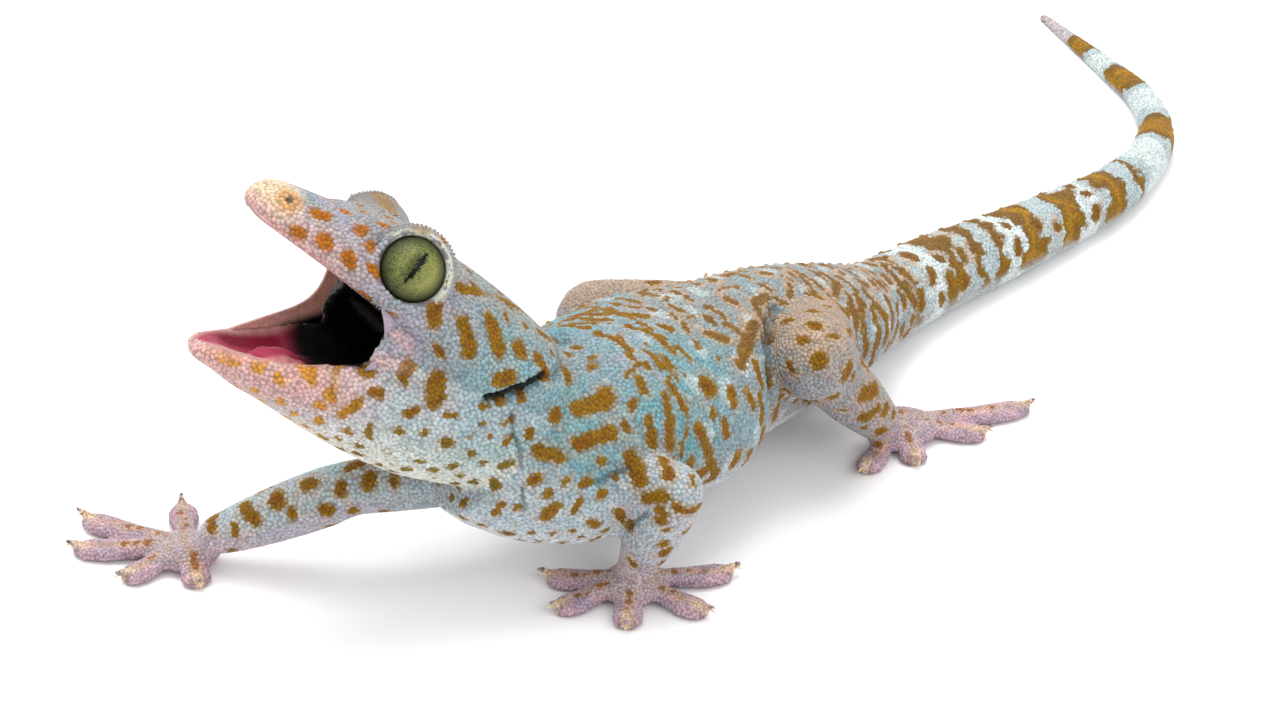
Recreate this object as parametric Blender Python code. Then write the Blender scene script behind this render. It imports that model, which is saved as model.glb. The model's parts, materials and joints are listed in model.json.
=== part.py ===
"""A tokay gecko, life size, as a still model.

It stands on four feet with its head raised and turned, its mouth open and its tail on the floor.
The trunk points towards -Y, +X is the gecko's left side and the floor is Z = 0.
"""
import math

import bmesh
import bpy
from mathutils import Matrix, Vector

# Every size and place below is in millimetres. MM turns them into metres.
MM = 0.001
GAP = 0.3
# Points nearer than this are one, in metres.
WELD = 0.000005
# How far a cutting block reaches past what it cuts.
FAR = 80.0
# The middle of the model's box on the floor, which becomes the origin.
BOX_MIDDLE = Vector((-6.0, 13.2, 0.0))

# The trunk from the chest to the root of the tail: place, half width, half height.
TRUNK = (
    (9.0, -54.5, 19.3, 14.2, 13.9),
    (7.6, -46.0, 18.1, 15.4, 12.8),
    (7.7, -36.0, 16.8, 16.2, 12.4),
    (8.0, -25.0, 15.8, 11.2, 11.8),
    (8.1, -15.2, 14.5, 10.2, 10.9),
    (7.3, -1.0, 11.0, 9.6, 8.6),
)
# The tail's bends on the floor, from its root to its tip.
TAIL_BENDS = (
    (6.0, 11.9), (5.3, 28.5), (7.3, 44.3), (8.6, 59.3), (9.3, 72.8), (6.7, 87.5),
    (1.6, 98.8), (-7.6, 108.9), (-19.0, 115.8), (-29.4, 121.5), (-42.6, 128.7),
)
TAIL_ROOT_RADIUS = 6.6
TAIL_TIP_RADIUS = 0.6
TAIL_ROOT_LIFT = 1.2
TAIL_PRESS = 0.25
# Where the tail is parted, as shares of the whole spine's stations.
TAIL_PARTS = ("tail_base", "tail_middle", "tail_tip")
TORSO_END = 5.75
TAIL_STARTS = (TORSO_END, 8.6, 12.0)
# How far the spine runs for each station, for the gap between two lengths.
STATION_LENGTH = 13.0
SPINE_SIDES = 28
SPINE_STEP = 3.4

# The head's pose: the jaw joint's place, then how the head is turned, raised and rolled.
JAW_JOINT = Vector((0.7, -68.5, 32.5))
HEAD_TURN = math.radians(-125.1)
HEAD_RAISE = math.radians(44.2)
HEAD_ROLL = math.radians(16.4)
GAPE = math.radians(25.0)
HEAD_SIDES = 32
CRANIUM_STEP = 2.6
JAW_STEP = 3.0
# How far from its lip each jaw is widest, as a share of its height.
WIDEST = 0.30
HEAD_BACK = -9.0
# The skull and upper jaw, from the nape to the snout: place along the head, half width,
# height of the crown and of the lip, and how much the sides lean in.
CRANIUM = (
    (-12.5, 11.8, 8.8, -8.0, 0.10),
    (-9.0, 12.6, 9.4, -8.0, 0.10),
    (-3.0, 13.6, 10.3, -5.5, 0.14),
    (4.0, 13.9, 10.8, -3.0, 0.16),
    (11.0, 13.1, 10.7, -1.2, 0.18),
    (17.0, 11.9, 10.5, -0.2, 0.18),
    (22.0, 10.3, 9.4, 0.2, 0.22),
    (27.0, 8.4, 7.7, 0.5, 0.26),
    (31.0, 6.7, 6.9, 0.8, 0.28),
    (34.0, 5.0, 6.2, 1.1, 0.28),
    (35.9, 3.2, 5.2, 1.6, 0.24),
    (36.7, 1.4, 4.2, 2.4, 0.20),
)
# The lower jaw and throat with the mouth shut: place along the jaw, half width, top, bottom.
MANDIBLE = (
    (-12.5, 11.0, 3.0, -13.0),
    (-6.0, 12.4, 3.0, -14.8),
    (1.0, 12.9, 2.8, -14.8),
    (8.0, 12.7, 2.6, -14.0),
    (14.0, 11.9, 2.2, -12.2),
    (20.0, 10.4, 1.4, -9.8),
    (26.0, 8.4, 0.4, -7.0),
    (30.0, 6.6, -0.2, -5.4),
    (33.0, 4.6, -0.6, -3.7),
    (34.7, 2.9, -0.9, -3.0),
    (35.4, 1.2, -1.3, -2.4),
)
# The cheek behind the mouth's corner: place along the head, half width, height of its lower edge.
CHEEK = ((-12.5, 11.0, -12.0), (-4.0, 12.6, -10.0), (6.0, 12.9, -9.0), (12.0, 12.3, -7.8),
         (15.6, 11.3, -6.2))
CHEEK_TOP = 3.0
# The mouth's hollows: centre and half sizes, the throat's midway between the jaws.
THROAT_HOLLOW = ((13.5, 0.0, 0.0), (18.0, 10.0, 5.4))
PALATE_HOLLOW = ((19.0, 0.0, 0.2), (15.5, 7.9, 2.6))
JAW_HOLLOW = ((19.0, 0.0, 0.2), (14.6, 8.3, 3.4))
TONGUE = ((16.5, 0.0, -2.6), (12.5, 5.6, 2.1))

EYE_RADIUS = 4.6
EYE_SIDES = 20
EYE_ROWS = 14
EYE_AXIS = Vector((0.30, 0.93, 0.20)).normalized()
EYE_DISC = Vector((18.0, 10.1, 7.0))
EYE_DISC_RADIUS = 4.1
# The lid round the eye, turned about the eye's axis: how far out from the disc, and radius.
LID = ((-3.0, 4.9), (-0.6, 5.05), (0.2, 4.9), (0.5, 4.6), (0.3, 4.2))
BROW = (18.2, 6.9, 2.3)
BROW_SPREAD = (5.2, 2.5)
NECK_HALF_HEIGHT = 12.9
NECK_LEAN = 0.06
NECK_RINGS = 6
NOSTRIL = Vector((33.6, 3.5, 4.9))
NOSTRIL_RADIUS = 0.6
EAR = Vector((-2.0, 13.2, 2.9))
EAR_HALF = (0.8, 1.6, 3.3)
EAR_LEAN = math.radians(-31.0)

# Each leg: its root, its middle joint and its wrist or ankle.
ARMS = {
    "left": ((11.0, -58.5, 16.5), (27.4, -56.4, 19.2), (21.0, -56.6, 5.0)),
    "right": ((2.5, -61.0, 14.5), (-10.6, -78.2, 13.2), (-24.7, -90.0, 5.0)),
}
LEGS = {
    "left": ((7.0, -6.0, 12.5), (22.5, -22.5, 21.5), (24.4, -8.7, 5.0)),
    "right": ((4.0, -8.0, 10.5), (-16.0, -24.6, 12.8), (-17.4, -6.0, 4.6)),
}
# Radii at the root, the middle and the far end of each length of leg.
ARM_RADII = (5.0, 4.2, 3.5)
FOREARM_RADII = (3.7, 3.6, 2.5)
THIGH_RADII = (6.6, 6.8, 5.8)
SHIN_RADII = (4.6, 4.2, 2.8)
LEG_SIDES = 16
LEG_RINGS = 6
# How far round its end each ring of a limb's rounded end lies, in degrees.
END_RINGS = (80, 50, 25)

# Palms and soles: the middle of each, and its half length, half width and half height.
PALMS = {"left": (20.9, -57.6), "right": (-28.6, -92.4)}
SOLES = {"left": (24.6, -3.6), "right": (-17.6, 1.0)}
PALM_HALF = (4.4, 3.7, 2.3)
SOLE_HALF = (5.0, 3.9, 2.4)
PALM_HEIGHT = 1.7
# The tips of the toes, first to fifth.
FINGER_TIPS = {
    "left": ((11.0, -63.2), (16.4, -67.5), (25.6, -64.0), (31.4, -55.0), (28.2, -46.2)),
    "right": ((-22.8, -95.4), (-31.2, -101.2), (-41.2, -101.4), (-45.6, -96.2), (-38.2, -85.4)),
}
TOE_TIPS = {
    "left": ((26.4, -14.8), (30.7, -8.2), (33.6, 4.0), (34.2, 13.9), (17.8, -0.8)),
    "right": ((-23.0, -5.2), (-26.0, 2.2), (-24.4, 9.8), (-18.0, 13.8), (-11.4, 8.6)),
}
# A toe's outline from its root to its tip: share of its length, half width, half height, lift.
TOE = (
    (0.0, 1.5, 1.3, 1.9), (0.30, 1.2, 1.1, 1.7), (0.50, 1.5, 1.05, 1.2),
    (0.68, 2.0, 1.0, 0.85), (0.88, 1.9, 0.95, 0.8), (0.98, 1.2, 0.75, 0.75), (1.02, 0.5, 0.4, 0.6),
)
# Where a toe starts, as a share of the way from the palm's middle to its tip.
TOE_ROOT = 0.14
TOE_SIDES = 8
LID_SIDES = 26
# A claw's rings: how far past the toe's tip, height and radius.
CLAW = ((-1.0, 1.1, 0.45), (0.1, 1.75, 0.42), (0.9, 2.1, 0.28), (1.5, 2.0, 0.12))
CLAW_SIDES = 6
ROOT_COLOURS = {
    "skin": (0.36, 0.50, 0.56, 1.0),
    "mouth": (0.62, 0.20, 0.22, 1.0),
    "eye": (0.28, 0.33, 0.13, 1.0),
}
ROUGHNESS = {"skin": 0.55, "mouth": 0.35, "eye": 0.08}


def clear_scene():
    """Remove what a new Blender file holds."""
    for thing in list(bpy.data.objects):
        bpy.data.objects.remove(thing, do_unlink=True)


def make_materials():
    """One Principled material for skin, one for the mouth's flesh and one for the eyes."""
    made = {}
    for name, colour in ROOT_COLOURS.items():
        material = bpy.data.materials.new(name)
        material.use_nodes = True
        shader = material.node_tree.nodes["Principled BSDF"]
        shader.inputs["Base Color"].default_value = colour
        shader.inputs["Roughness"].default_value = ROUGHNESS[name]
        shader.inputs["Metallic"].default_value = 0.0
        made[name] = material
    return made


def smooth(stations, where):
    """A value on the Catmull-Rom curve through the stations, counted in stations from the first."""
    last = len(stations) - 1
    index = min(int(where), last - 1)
    share = where - index
    around = [stations[min(max(index + k, 0), last)] for k in (-1, 0, 1, 2)]
    values = []
    for a, b, c, d in zip(*around):
        values.append(0.5 * (2 * b + (c - a) * share + (2 * a - 5 * b + 4 * c - d) * share ** 2
                             + (3 * b - a - 3 * c + d) * share ** 3))
    return values


def oval(frame, half_width, above, below, lean=0.0, square=0.92, sides=SPINE_SIDES):
    """A closed ring in the frame's YZ plane, with its own half height above and below."""
    ring = []
    for k in range(sides):
        angle = 2 * math.pi * (k + 0.5) / sides
        across = half_width * math.copysign(abs(math.cos(angle)) ** square, math.cos(angle))
        rise = math.copysign(abs(math.sin(angle)) ** square, math.sin(angle))
        height = rise * (above if rise > 0 else below)
        across *= 1 - lean * max(0.0, rise)
        ring.append(frame @ Vector((0.0, across, height)))
    return ring


def frame_along(place, forward):
    """A frame at a place with X forward, Y to the left of it and Z as near upright as it can be."""
    forward = forward.normalized()
    left = Vector((0, 0, 1)).cross(forward).normalized()
    up = forward.cross(left)
    turn = Matrix((forward, left, up)).transposed().to_4x4()
    return Matrix.Translation(place) @ turn


def add_mesh(name, mesh_builder, collection, material):
    """An object whose mesh is the builder's, in metres about the model's own origin."""
    bmesh.ops.recalc_face_normals(mesh_builder, faces=mesh_builder.faces)
    for vert in mesh_builder.verts:
        vert.co = (vert.co - BOX_MIDDLE) * MM
    mesh = bpy.data.meshes.new(name)
    mesh_builder.to_mesh(mesh)
    mesh_builder.free()
    mesh.shade_smooth()
    made = bpy.data.objects.new(name, mesh)
    made.data.materials.append(material)
    collection.objects.link(made)
    return made


def loft(name, rings, collection, material, on_floor=False):
    """A closed body through rings of equal count, each end closed by a fan."""
    built = bmesh.new()
    loops = [[built.verts.new(point) for point in ring] for ring in rings]
    count = len(rings[0])
    for near, far in zip(loops, loops[1:]):
        for k in range(count):
            after = (k + 1) % count
            built.faces.new((near[k], near[after], far[after], far[k]))
    for end in (loops[0], loops[-1]):
        middle = built.verts.new(sum((vert.co for vert in end), Vector()) / count)
        for k in range(count):
            built.faces.new((end[k], end[(k + 1) % count], middle))
    if on_floor:
        for vert in built.verts:
            vert.co.z = max(vert.co.z, 0.0)
    return add_mesh(name, built, collection, material)


def ellipsoid(name, frame, half_sizes, collection, material, around=28, along=18):
    """A closed ellipsoid in the frame, its poles on the frame's X axis."""
    built = bmesh.new()
    bmesh.ops.create_uvsphere(built, u_segments=around, v_segments=along, radius=1.0)
    sized = Matrix.Diagonal((*half_sizes, 1.0))
    poles_forward = Matrix.Rotation(math.radians(90), 4, "Y")
    bmesh.ops.transform(built, matrix=frame @ sized @ poles_forward, verts=built.verts)
    return add_mesh(name, built, collection, material)


def block(name, frame, lows, highs, collection, material):
    """A box in the frame, from its low corner to its high one."""
    built = bmesh.new()
    bmesh.ops.create_cube(built, size=1.0)
    sizes = [high - low for low, high in zip(lows, highs)]
    middle = [(high + low) / 2 for low, high in zip(lows, highs)]
    sized = Matrix.Translation(middle) @ Matrix.Diagonal((*sizes, 1.0))
    bmesh.ops.transform(built, matrix=frame @ sized, verts=built.verts)
    return add_mesh(name, built, collection, material)


def combine(target, others, operation):
    """Join, cut or keep the shared part of a body and others, which are then removed."""
    group = bpy.data.collections.new("pieces")
    bpy.context.scene.collection.children.link(group)
    for other in others:
        group.objects.link(other)
    change = target.modifiers.new("change", "BOOLEAN")
    change.operand_type = "COLLECTION"
    change.collection = group
    change.operation = operation
    if operation == "INTERSECT":
        change.operand_type = "OBJECT"
        change.object = others[0]
    bpy.context.view_layer.update()
    seen = target.evaluated_get(bpy.context.evaluated_depsgraph_get())
    mesh = bpy.data.meshes.new_from_object(seen)
    target.modifiers.clear()
    target.data = mesh
    for other in others:
        bpy.data.objects.remove(other, do_unlink=True)
    bpy.data.collections.remove(group)
    keep_largest(target)
    return target


def keep_largest(target):
    """Weld what touches and keep only the largest closed surface."""
    built = bmesh.new()
    built.from_mesh(target.data)
    bmesh.ops.remove_doubles(built, verts=built.verts, dist=WELD)
    bmesh.ops.dissolve_degenerate(built, edges=built.edges, dist=WELD)
    bmesh.ops.triangulate(built, faces=built.faces)
    islands = []
    waiting = set(built.faces)
    while waiting:
        island = {waiting.pop()}
        edge_of_island = list(island)
        while edge_of_island:
            face = edge_of_island.pop()
            for edge in face.edges:
                for other in edge.link_faces:
                    if other in waiting:
                        waiting.remove(other)
                        island.add(other)
                        edge_of_island.append(other)
        islands.append(island)
    largest = max(islands, key=lambda island: (len(island), sum(face.calc_area() for face in island)))
    bmesh.ops.delete(built, geom=[face for face in built.faces if face not in largest], context="FACES")
    loose = [vert for vert in built.verts if not vert.link_faces]
    bmesh.ops.delete(built, geom=loose, context="VERTS")
    built.to_mesh(target.data)
    built.free()


def spine_stations():
    """The trunk's stations with the tail's after them, each with its half width and height."""
    lengths = [0.0]
    for near, far in zip(TAIL_BENDS, TAIL_BENDS[1:]):
        lengths.append(lengths[-1] + math.dist(near, far))
    stations = list(TRUNK)
    for (x, y), length in zip(TAIL_BENDS, lengths):
        share = length / lengths[-1]
        radius = TAIL_ROOT_RADIUS + (TAIL_TIP_RADIUS - TAIL_ROOT_RADIUS) * share
        lift = TAIL_ROOT_LIFT if length == 0.0 else 0.0
        stations.append((x, y, radius - TAIL_PRESS + lift, radius, radius))
    return stations


def spine_frame(stations, where):
    """The frame on the spine at a place counted in stations, its X towards the head."""
    before = Vector(smooth(stations, max(where - 0.02, 0.0))[:3])
    after = Vector(smooth(stations, min(where + 0.02, len(stations) - 1.0))[:3])
    return frame_along(Vector(smooth(stations, where)[:3]), before - after)


def spine_length(name, stations, start, stop, collection, material, grow=0.0):
    """One length of trunk or tail between two places on the spine."""
    near, far = (Vector(smooth(stations, where)[:3]) for where in (start, stop))
    count = max(3, round((far - near).length / SPINE_STEP))
    rings = []
    for k in range(count + 1):
        where = start + (stop - start) * k / count
        half_width, half_height = (size + grow for size in smooth(stations, where)[3:])
        rings.append(oval(spine_frame(stations, where), half_width, half_height, half_height))
    return loft(name, rings, collection, material, on_floor=grow == 0.0)


def head_frame():
    """The head's frame at the jaw joint: X to the snout, Y to its left side, Z to its crown."""
    turn = Matrix.Rotation(HEAD_TURN, 4, "Z") @ Matrix.Rotation(-HEAD_RAISE, 4, "Y")
    return Matrix.Translation(JAW_JOINT) @ turn @ Matrix.Rotation(HEAD_ROLL, 4, "X")


def opened(head, share):
    """The head's frame turned about the jaw joint by a share of the gape."""
    return head @ Matrix.Rotation(GAPE * share, 4, "Y")


def rows_between(rows, step):
    """Rows read from the smooth curve through the given rows, about a step apart."""
    made = []
    for k in range(len(rows) - 1):
        parts = max(1, round(abs(rows[k + 1][0] - rows[k][0]) / step))
        made += [smooth(rows, k + part / parts) for part in range(parts)]
    return made + [list(rows[-1])]


def cranium(head, collection, material):
    """The skull with the upper jaw, the brows raised over the eyes."""
    rings = []
    for x, half_width, top, bottom, lean in rows_between(CRANIUM, CRANIUM_STEP):
        middle = (top + bottom) / 2 if x < 0 else bottom + (top - bottom) * WIDEST
        frame = Matrix.Translation((x, 0.0, middle))
        ring = oval(frame, half_width, top - middle, middle - bottom, lean, 0.80, HEAD_SIDES)
        for point in ring:
            along = (x - BROW[0]) / BROW_SPREAD[0]
            across = (abs(point.y) - BROW[1]) / BROW_SPREAD[1]
            if point.z > middle:
                point.z += BROW[2] * math.exp(-along ** 2 - across ** 2)
        rings.append([head @ point for point in ring])
    return loft("head", rings, collection, material)


def mandible(jaw, collection, material, grow=0.0):
    """The lower jaw with the throat under it."""
    rings = []
    for x, half_width, top, bottom in rows_between(MANDIBLE, JAW_STEP):
        middle = top + (bottom - top) * WIDEST
        frame = jaw @ Matrix.Translation((x, 0.0, middle))
        rings.append(oval(frame, half_width + grow, top - middle + grow, middle - bottom + grow,
                          0.0, 0.86, HEAD_SIDES))
    return loft("mandible", rings, collection, material)


def cheek(head, collection, material):
    """The flesh between the jaws behind the mouth's corners."""
    rings = []
    for x, half_width, bottom in rows_between(CHEEK, JAW_STEP):
        middle = (CHEEK_TOP + bottom) / 2
        half = (CHEEK_TOP - bottom) / 2
        frame = head @ Matrix.Translation((x, 0.0, middle))
        rings.append(oval(frame, half_width, half, half, 0.0, 0.7, HEAD_SIDES))
    return loft("cheek", rings, collection, material)


def mirrored(vector, side):
    """A place on the head's left side, or the same place on its right."""
    return Vector((vector.x, vector.y * side, vector.z))


def eye_frame(head, side, distance):
    """A frame on an eye's axis, at a distance out from the eyeball's middle."""
    axis = mirrored(EYE_AXIS, side)
    deep = math.sqrt(EYE_RADIUS ** 2 - EYE_DISC_RADIUS ** 2)
    place = mirrored(EYE_DISC, side) + axis * (distance - deep)
    return head @ Matrix.Translation(place) @ axis.to_track_quat("X", "Z").to_matrix().to_4x4()


def lid(head, side, collection, material):
    """The raised lid round one eye, a turned ring on a plug that the socket then hollows."""
    frame = eye_frame(head, side, math.sqrt(EYE_RADIUS ** 2 - EYE_DISC_RADIUS ** 2))
    rings = []
    for out, radius in LID:
        ring_frame = frame @ Matrix.Translation((out, 0.0, 0.0))
        rings.append(oval(ring_frame, radius, radius, radius, 0.0, 1.0, LID_SIDES))
    return loft("lid", rings, collection, material)


def build_head(parts, tools, materials):
    """The head with the upper jaw, the lower jaw, the tongue and the two eyes."""
    head = head_frame()
    skin, flesh = materials["skin"], materials["mouth"]
    whole = cranium(head, parts, skin)
    added = [mandible(opened(head, 1.0), tools, skin), cheek(head, tools, skin)]
    added += [lid(head, side, tools, skin) for side in (1, -1)]
    combine(whole, added, "UNION")
    cuts = [hollow("throat", opened(head, 0.5), THROAT_HOLLOW, 0.0, tools, skin),
            hollow("palate", head, PALATE_HOLLOW, 0.0, tools, skin),
            hollow("floor", opened(head, 1.0), JAW_HOLLOW, 0.0, tools, skin)]
    for side in (1, -1):
        socket = eye_frame(head, side, 0.0)
        cuts.append(ellipsoid("socket", socket, (EYE_RADIUS + GAP,) * 3, tools, skin,
                              EYE_SIDES, EYE_ROWS))
        nostril = head @ Matrix.Translation(mirrored(NOSTRIL, side))
        cuts.append(ellipsoid("nostril", nostril, (NOSTRIL_RADIUS,) * 3, tools, skin, 8, 6))
        ear = head @ Matrix.Translation(mirrored(EAR, side)) @ Matrix.Rotation(EAR_LEAN, 4, "Y")
        cuts.append(ellipsoid("ear", ear, EAR_HALF, tools, skin, 10, 8))
    behind = block("behind", head, (-FAR, -FAR, -FAR), (HEAD_BACK, FAR, FAR), tools, skin)
    combine(whole, cuts + [behind], "DIFFERENCE")
    lower = whole.copy()
    lower.data = whole.data.copy()
    lower.name = "lower_jaw"
    parts.objects.link(lower)
    split = opened(head, 0.5)
    combine(whole, [block("under", split, (-FAR, -FAR, -FAR), (FAR, FAR, GAP / 2), tools, skin)],
            "DIFFERENCE")
    combine(lower, [block("over", split, (-FAR, -FAR, -GAP / 2), (FAR, FAR, FAR), tools, skin)],
            "DIFFERENCE")
    tongue = hollow("tongue", opened(head, 1.0), JAW_HOLLOW, -GAP, parts, flesh)
    shape = hollow("tongue_shape", opened(head, 1.0), TONGUE, 0.0, tools, flesh)
    combine(tongue, [shape], "INTERSECT")
    for side, word in ((1, "left"), (-1, "right")):
        ellipsoid("eye_" + word, eye_frame(head, side, 0.0), (EYE_RADIUS,) * 3, parts,
                  materials["eye"], EYE_SIDES, EYE_ROWS)
    return head


def hollow(name, frame, shape, grow, collection, material):
    """One of the mouth's rounded shapes, made larger or smaller all round."""
    place, half = shape
    sizes = [size + grow for size in half]
    return ellipsoid(name, frame @ Matrix.Translation(place), sizes, collection, material, 24, 14)


def neck(head, stations, collection, material, grow=0.0):
    """The neck, from the chest's first ring to the back of the head, turning as it goes."""
    chest = spine_frame(stations, 0.0)
    chest.translation += chest.to_3x3() @ Vector((GAP, 0.0, 0.0))
    nape_row = smooth(CRANIUM, 1.0)
    nape = head @ Matrix.Translation((HEAD_BACK - GAP, 0.0, nape_row[2] - NECK_HALF_HEIGHT))
    reach = (nape.translation - chest.translation).length
    out = chest.to_3x3() @ Vector((reach / 3, 0.0, 0.0))
    back = nape.to_3x3() @ Vector((-reach / 3, 0.0, 0.0))
    corners = (chest.translation, chest.translation + out, nape.translation + back,
               nape.translation)
    rings = []
    for k in range(NECK_RINGS + 1):
        share = k / NECK_RINGS
        weights = ((1 - share) ** 3, 3 * share * (1 - share) ** 2, 3 * share ** 2 * (1 - share),
                   share ** 3)
        place = sum((corner * weight for corner, weight in zip(corners, weights)), Vector())
        turn = chest.to_quaternion().slerp(nape.to_quaternion(), share)
        frame = Matrix.Translation(place) @ turn.to_matrix().to_4x4()
        half_width = TRUNK[0][3] * (1 - share) + nape_row[1] * share + grow
        height = TRUNK[0][4] * (1 - share) + NECK_HALF_HEIGHT * share + grow
        rings.append(oval(frame, half_width, height, height, NECK_LEAN * share))
    return loft("neck", rings, collection, material)


def limb(name, near, far, radii, collection, material, grow=0.0):
    """One length of a leg, round at both ends and fuller or slimmer between."""
    near, far = Vector(near), Vector(far)
    forward = (far - near).normalized()
    length = (far - near).length
    stations = []
    for lag in END_RINGS:
        angle = math.radians(lag)
        stations.append((-radii[0] * math.sin(angle), radii[0] * math.cos(angle)))
    for k in range(LEG_RINGS + 1):
        share = k / LEG_RINGS
        middle = radii[1] - (radii[0] + radii[2]) / 2
        radius = radii[0] * (1 - share) + radii[2] * share + 4 * middle * share * (1 - share)
        stations.append((length * share, radius))
    for lag in reversed(END_RINGS):
        angle = math.radians(lag)
        stations.append((length + radii[2] * math.sin(angle), radii[2] * math.cos(angle)))
    rings = []
    for along, radius in stations:
        frame = frame_along(near + forward * along, forward)
        rings.append(oval(frame, radius + grow, radius + grow, radius + grow, 0.0, 1.0, LEG_SIDES))
    return loft(name, rings, collection, material)


def toe(middle, tip, collection, material):
    """One toe: a narrow root and a broad pad that lies on the floor."""
    flat_middle, flat_tip = Vector((*middle, 0.0)), Vector((*tip, 0.0))
    forward = flat_tip - flat_middle
    rings = []
    for share, half_width, half_height, lift in TOE:
        place = flat_middle + forward * (TOE_ROOT + (1 - TOE_ROOT) * share) + Vector((0, 0, lift))
        frame = frame_along(place, forward)
        rings.append(oval(frame, half_width, half_height, half_height, 0.0, 0.8, TOE_SIDES))
    return loft("toe", rings, collection, material, on_floor=True)


def claw(middle, tip, collection, material):
    """The small hooked claw that rises from a toe's tip."""
    forward = (Vector((*tip, 0.0)) - Vector((*middle, 0.0))).normalized()
    rings = []
    for past, height, radius in CLAW:
        frame = frame_along(Vector((*tip, height)) + forward * past, forward)
        rings.append(oval(frame, radius, radius, radius, 0.0, 1.0, CLAW_SIDES))
    return loft("claw", rings, collection, material)


def foot(name, middle, half, tips, parts, tools, material):
    """A palm or sole with five toes, flat on the floor."""
    centre = Vector((*middle, PALM_HEIGHT))
    forward = Vector((*tips[2], 0.0)) - Vector((*middle, 0.0))
    base = frame_along(centre, forward)
    made = ellipsoid(name, base, half, parts, material, 14, 10)
    for vert in made.data.vertices:
        vert.co.z = max(vert.co.z, 0.0)
    toes = [toe(middle, tip, tools, material) for tip in tips]
    toes += [claw(middle, tip, tools, material) for tip in tips]
    combine(made, toes, "UNION")
    return made


def grown_body(head, stations, tools, material):
    """What the legs grow from, larger all round by the gap."""
    return [spine_length("trunk", stations, 0.0, TORSO_END, tools, material, GAP),
            spine_length("root", stations, TORSO_END, TAIL_STARTS[1], tools, material, GAP),
            neck(head, stations, tools, material, GAP),
            mandible(opened(head, 1.0), tools, material, GAP)]


def build_legs(head, stations, parts, tools, materials):
    """Four legs, each in three lengths, cut clear of what they grow from."""
    skin = materials["skin"]
    kinds = (("upper_arm", "forearm", "hand", ARMS, ARM_RADII, FOREARM_RADII, PALMS, PALM_HALF,
              FINGER_TIPS),
             ("thigh", "shin", "foot", LEGS, THIGH_RADII, SHIN_RADII, SOLES, SOLE_HALF, TOE_TIPS))
    for kind in kinds:
        upper_name, lower_name, foot_name, joints, upper_radii, lower_radii, middles, half, tips = kind
        for side in ("left", "right"):
            root, bend, wrist = joints[side]
            upper = limb(f"{upper_name}_{side}", root, bend, upper_radii, parts, skin)
            lower = limb(f"{lower_name}_{side}", bend, wrist, lower_radii, parts, skin)
            last = foot(f"{foot_name}_{side}", middles[side], half, tips[side], parts, tools, skin)
            combine(upper, grown_body(head, stations, tools, skin), "DIFFERENCE")
            bend_grown = limb("bend", root, bend, upper_radii, tools, skin, GAP)
            combine(lower, [bend_grown, *grown_body(head, stations, tools, skin)], "DIFFERENCE")
            combine(last, [limb("wrist", bend, wrist, lower_radii, tools, skin, GAP)], "DIFFERENCE")


def build():
    """The whole gecko."""
    clear_scene()
    scene = bpy.context.scene
    parts = bpy.data.collections.new("tokay_gecko")
    tools = bpy.data.collections.new("cutters")
    scene.collection.children.link(parts)
    scene.collection.children.link(tools)
    materials = make_materials()
    stations = spine_stations()
    head = build_head(parts, tools, materials)
    neck(head, stations, parts, materials["skin"])
    half_gap = GAP / 2 / STATION_LENGTH
    spine_length("torso", stations, 0.0, TORSO_END - half_gap, parts, materials["skin"])
    ends = [*TAIL_STARTS[1:], float(len(stations) - 1)]
    for name, start, end in zip(TAIL_PARTS, TAIL_STARTS, ends):
        last = end == ends[-1]
        stop = end if last else end - half_gap
        spine_length(name, stations, start + half_gap, stop, parts, materials["skin"])
    build_legs(head, stations, parts, tools, materials)


build()
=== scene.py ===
"""The looks of a life-size tokay gecko that stands with its mouth wide open.

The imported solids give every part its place. Sizes are in millimetres in the gecko's own coordinates,
where its trunk heads towards -Y, its left side is +X and the floor is at 0. placed() turns them to metres
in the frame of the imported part.
"""

import json
import math

import bmesh
import bpy
import numpy as np
from mathutils import Matrix, Vector, kdtree
from mathutils.bvhtree import BVHTree

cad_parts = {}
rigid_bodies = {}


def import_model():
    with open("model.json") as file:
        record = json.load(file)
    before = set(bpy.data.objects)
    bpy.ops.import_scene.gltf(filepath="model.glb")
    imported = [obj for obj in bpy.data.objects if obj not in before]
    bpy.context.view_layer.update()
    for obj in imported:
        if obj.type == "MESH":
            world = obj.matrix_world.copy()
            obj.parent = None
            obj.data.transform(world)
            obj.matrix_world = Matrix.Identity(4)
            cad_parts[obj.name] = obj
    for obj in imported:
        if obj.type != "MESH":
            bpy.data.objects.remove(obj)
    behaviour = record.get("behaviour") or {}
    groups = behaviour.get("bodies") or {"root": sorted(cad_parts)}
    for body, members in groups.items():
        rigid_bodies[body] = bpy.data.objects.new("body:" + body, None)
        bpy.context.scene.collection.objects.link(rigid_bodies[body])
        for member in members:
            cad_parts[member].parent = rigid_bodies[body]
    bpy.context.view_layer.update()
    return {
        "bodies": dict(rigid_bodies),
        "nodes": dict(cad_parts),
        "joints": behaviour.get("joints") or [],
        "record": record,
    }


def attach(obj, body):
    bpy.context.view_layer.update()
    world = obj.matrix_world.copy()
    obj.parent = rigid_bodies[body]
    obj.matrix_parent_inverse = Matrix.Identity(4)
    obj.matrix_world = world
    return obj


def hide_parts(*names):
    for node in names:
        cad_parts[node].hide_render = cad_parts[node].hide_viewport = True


MM = 0.001
BOX_MIDDLE = np.array((-6.0, 13.2, 0.0))
SEED = 8

LIMBS = ("upper_arm", "forearm", "hand", "thigh", "shin", "foot")
LIMB_PARTS = {"arm": LIMBS[:3], "leg": LIMBS[3:]}
LOW = ("hand", "foot")
TRUNK = ("neck", "torso", "tail_base", "tail_middle", "tail_tip")
FLESH = ["head", "lower_jaw", *TRUNK] + [f"{limb}_{side}" for limb in LIMBS for side in ("left", "right")]
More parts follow.
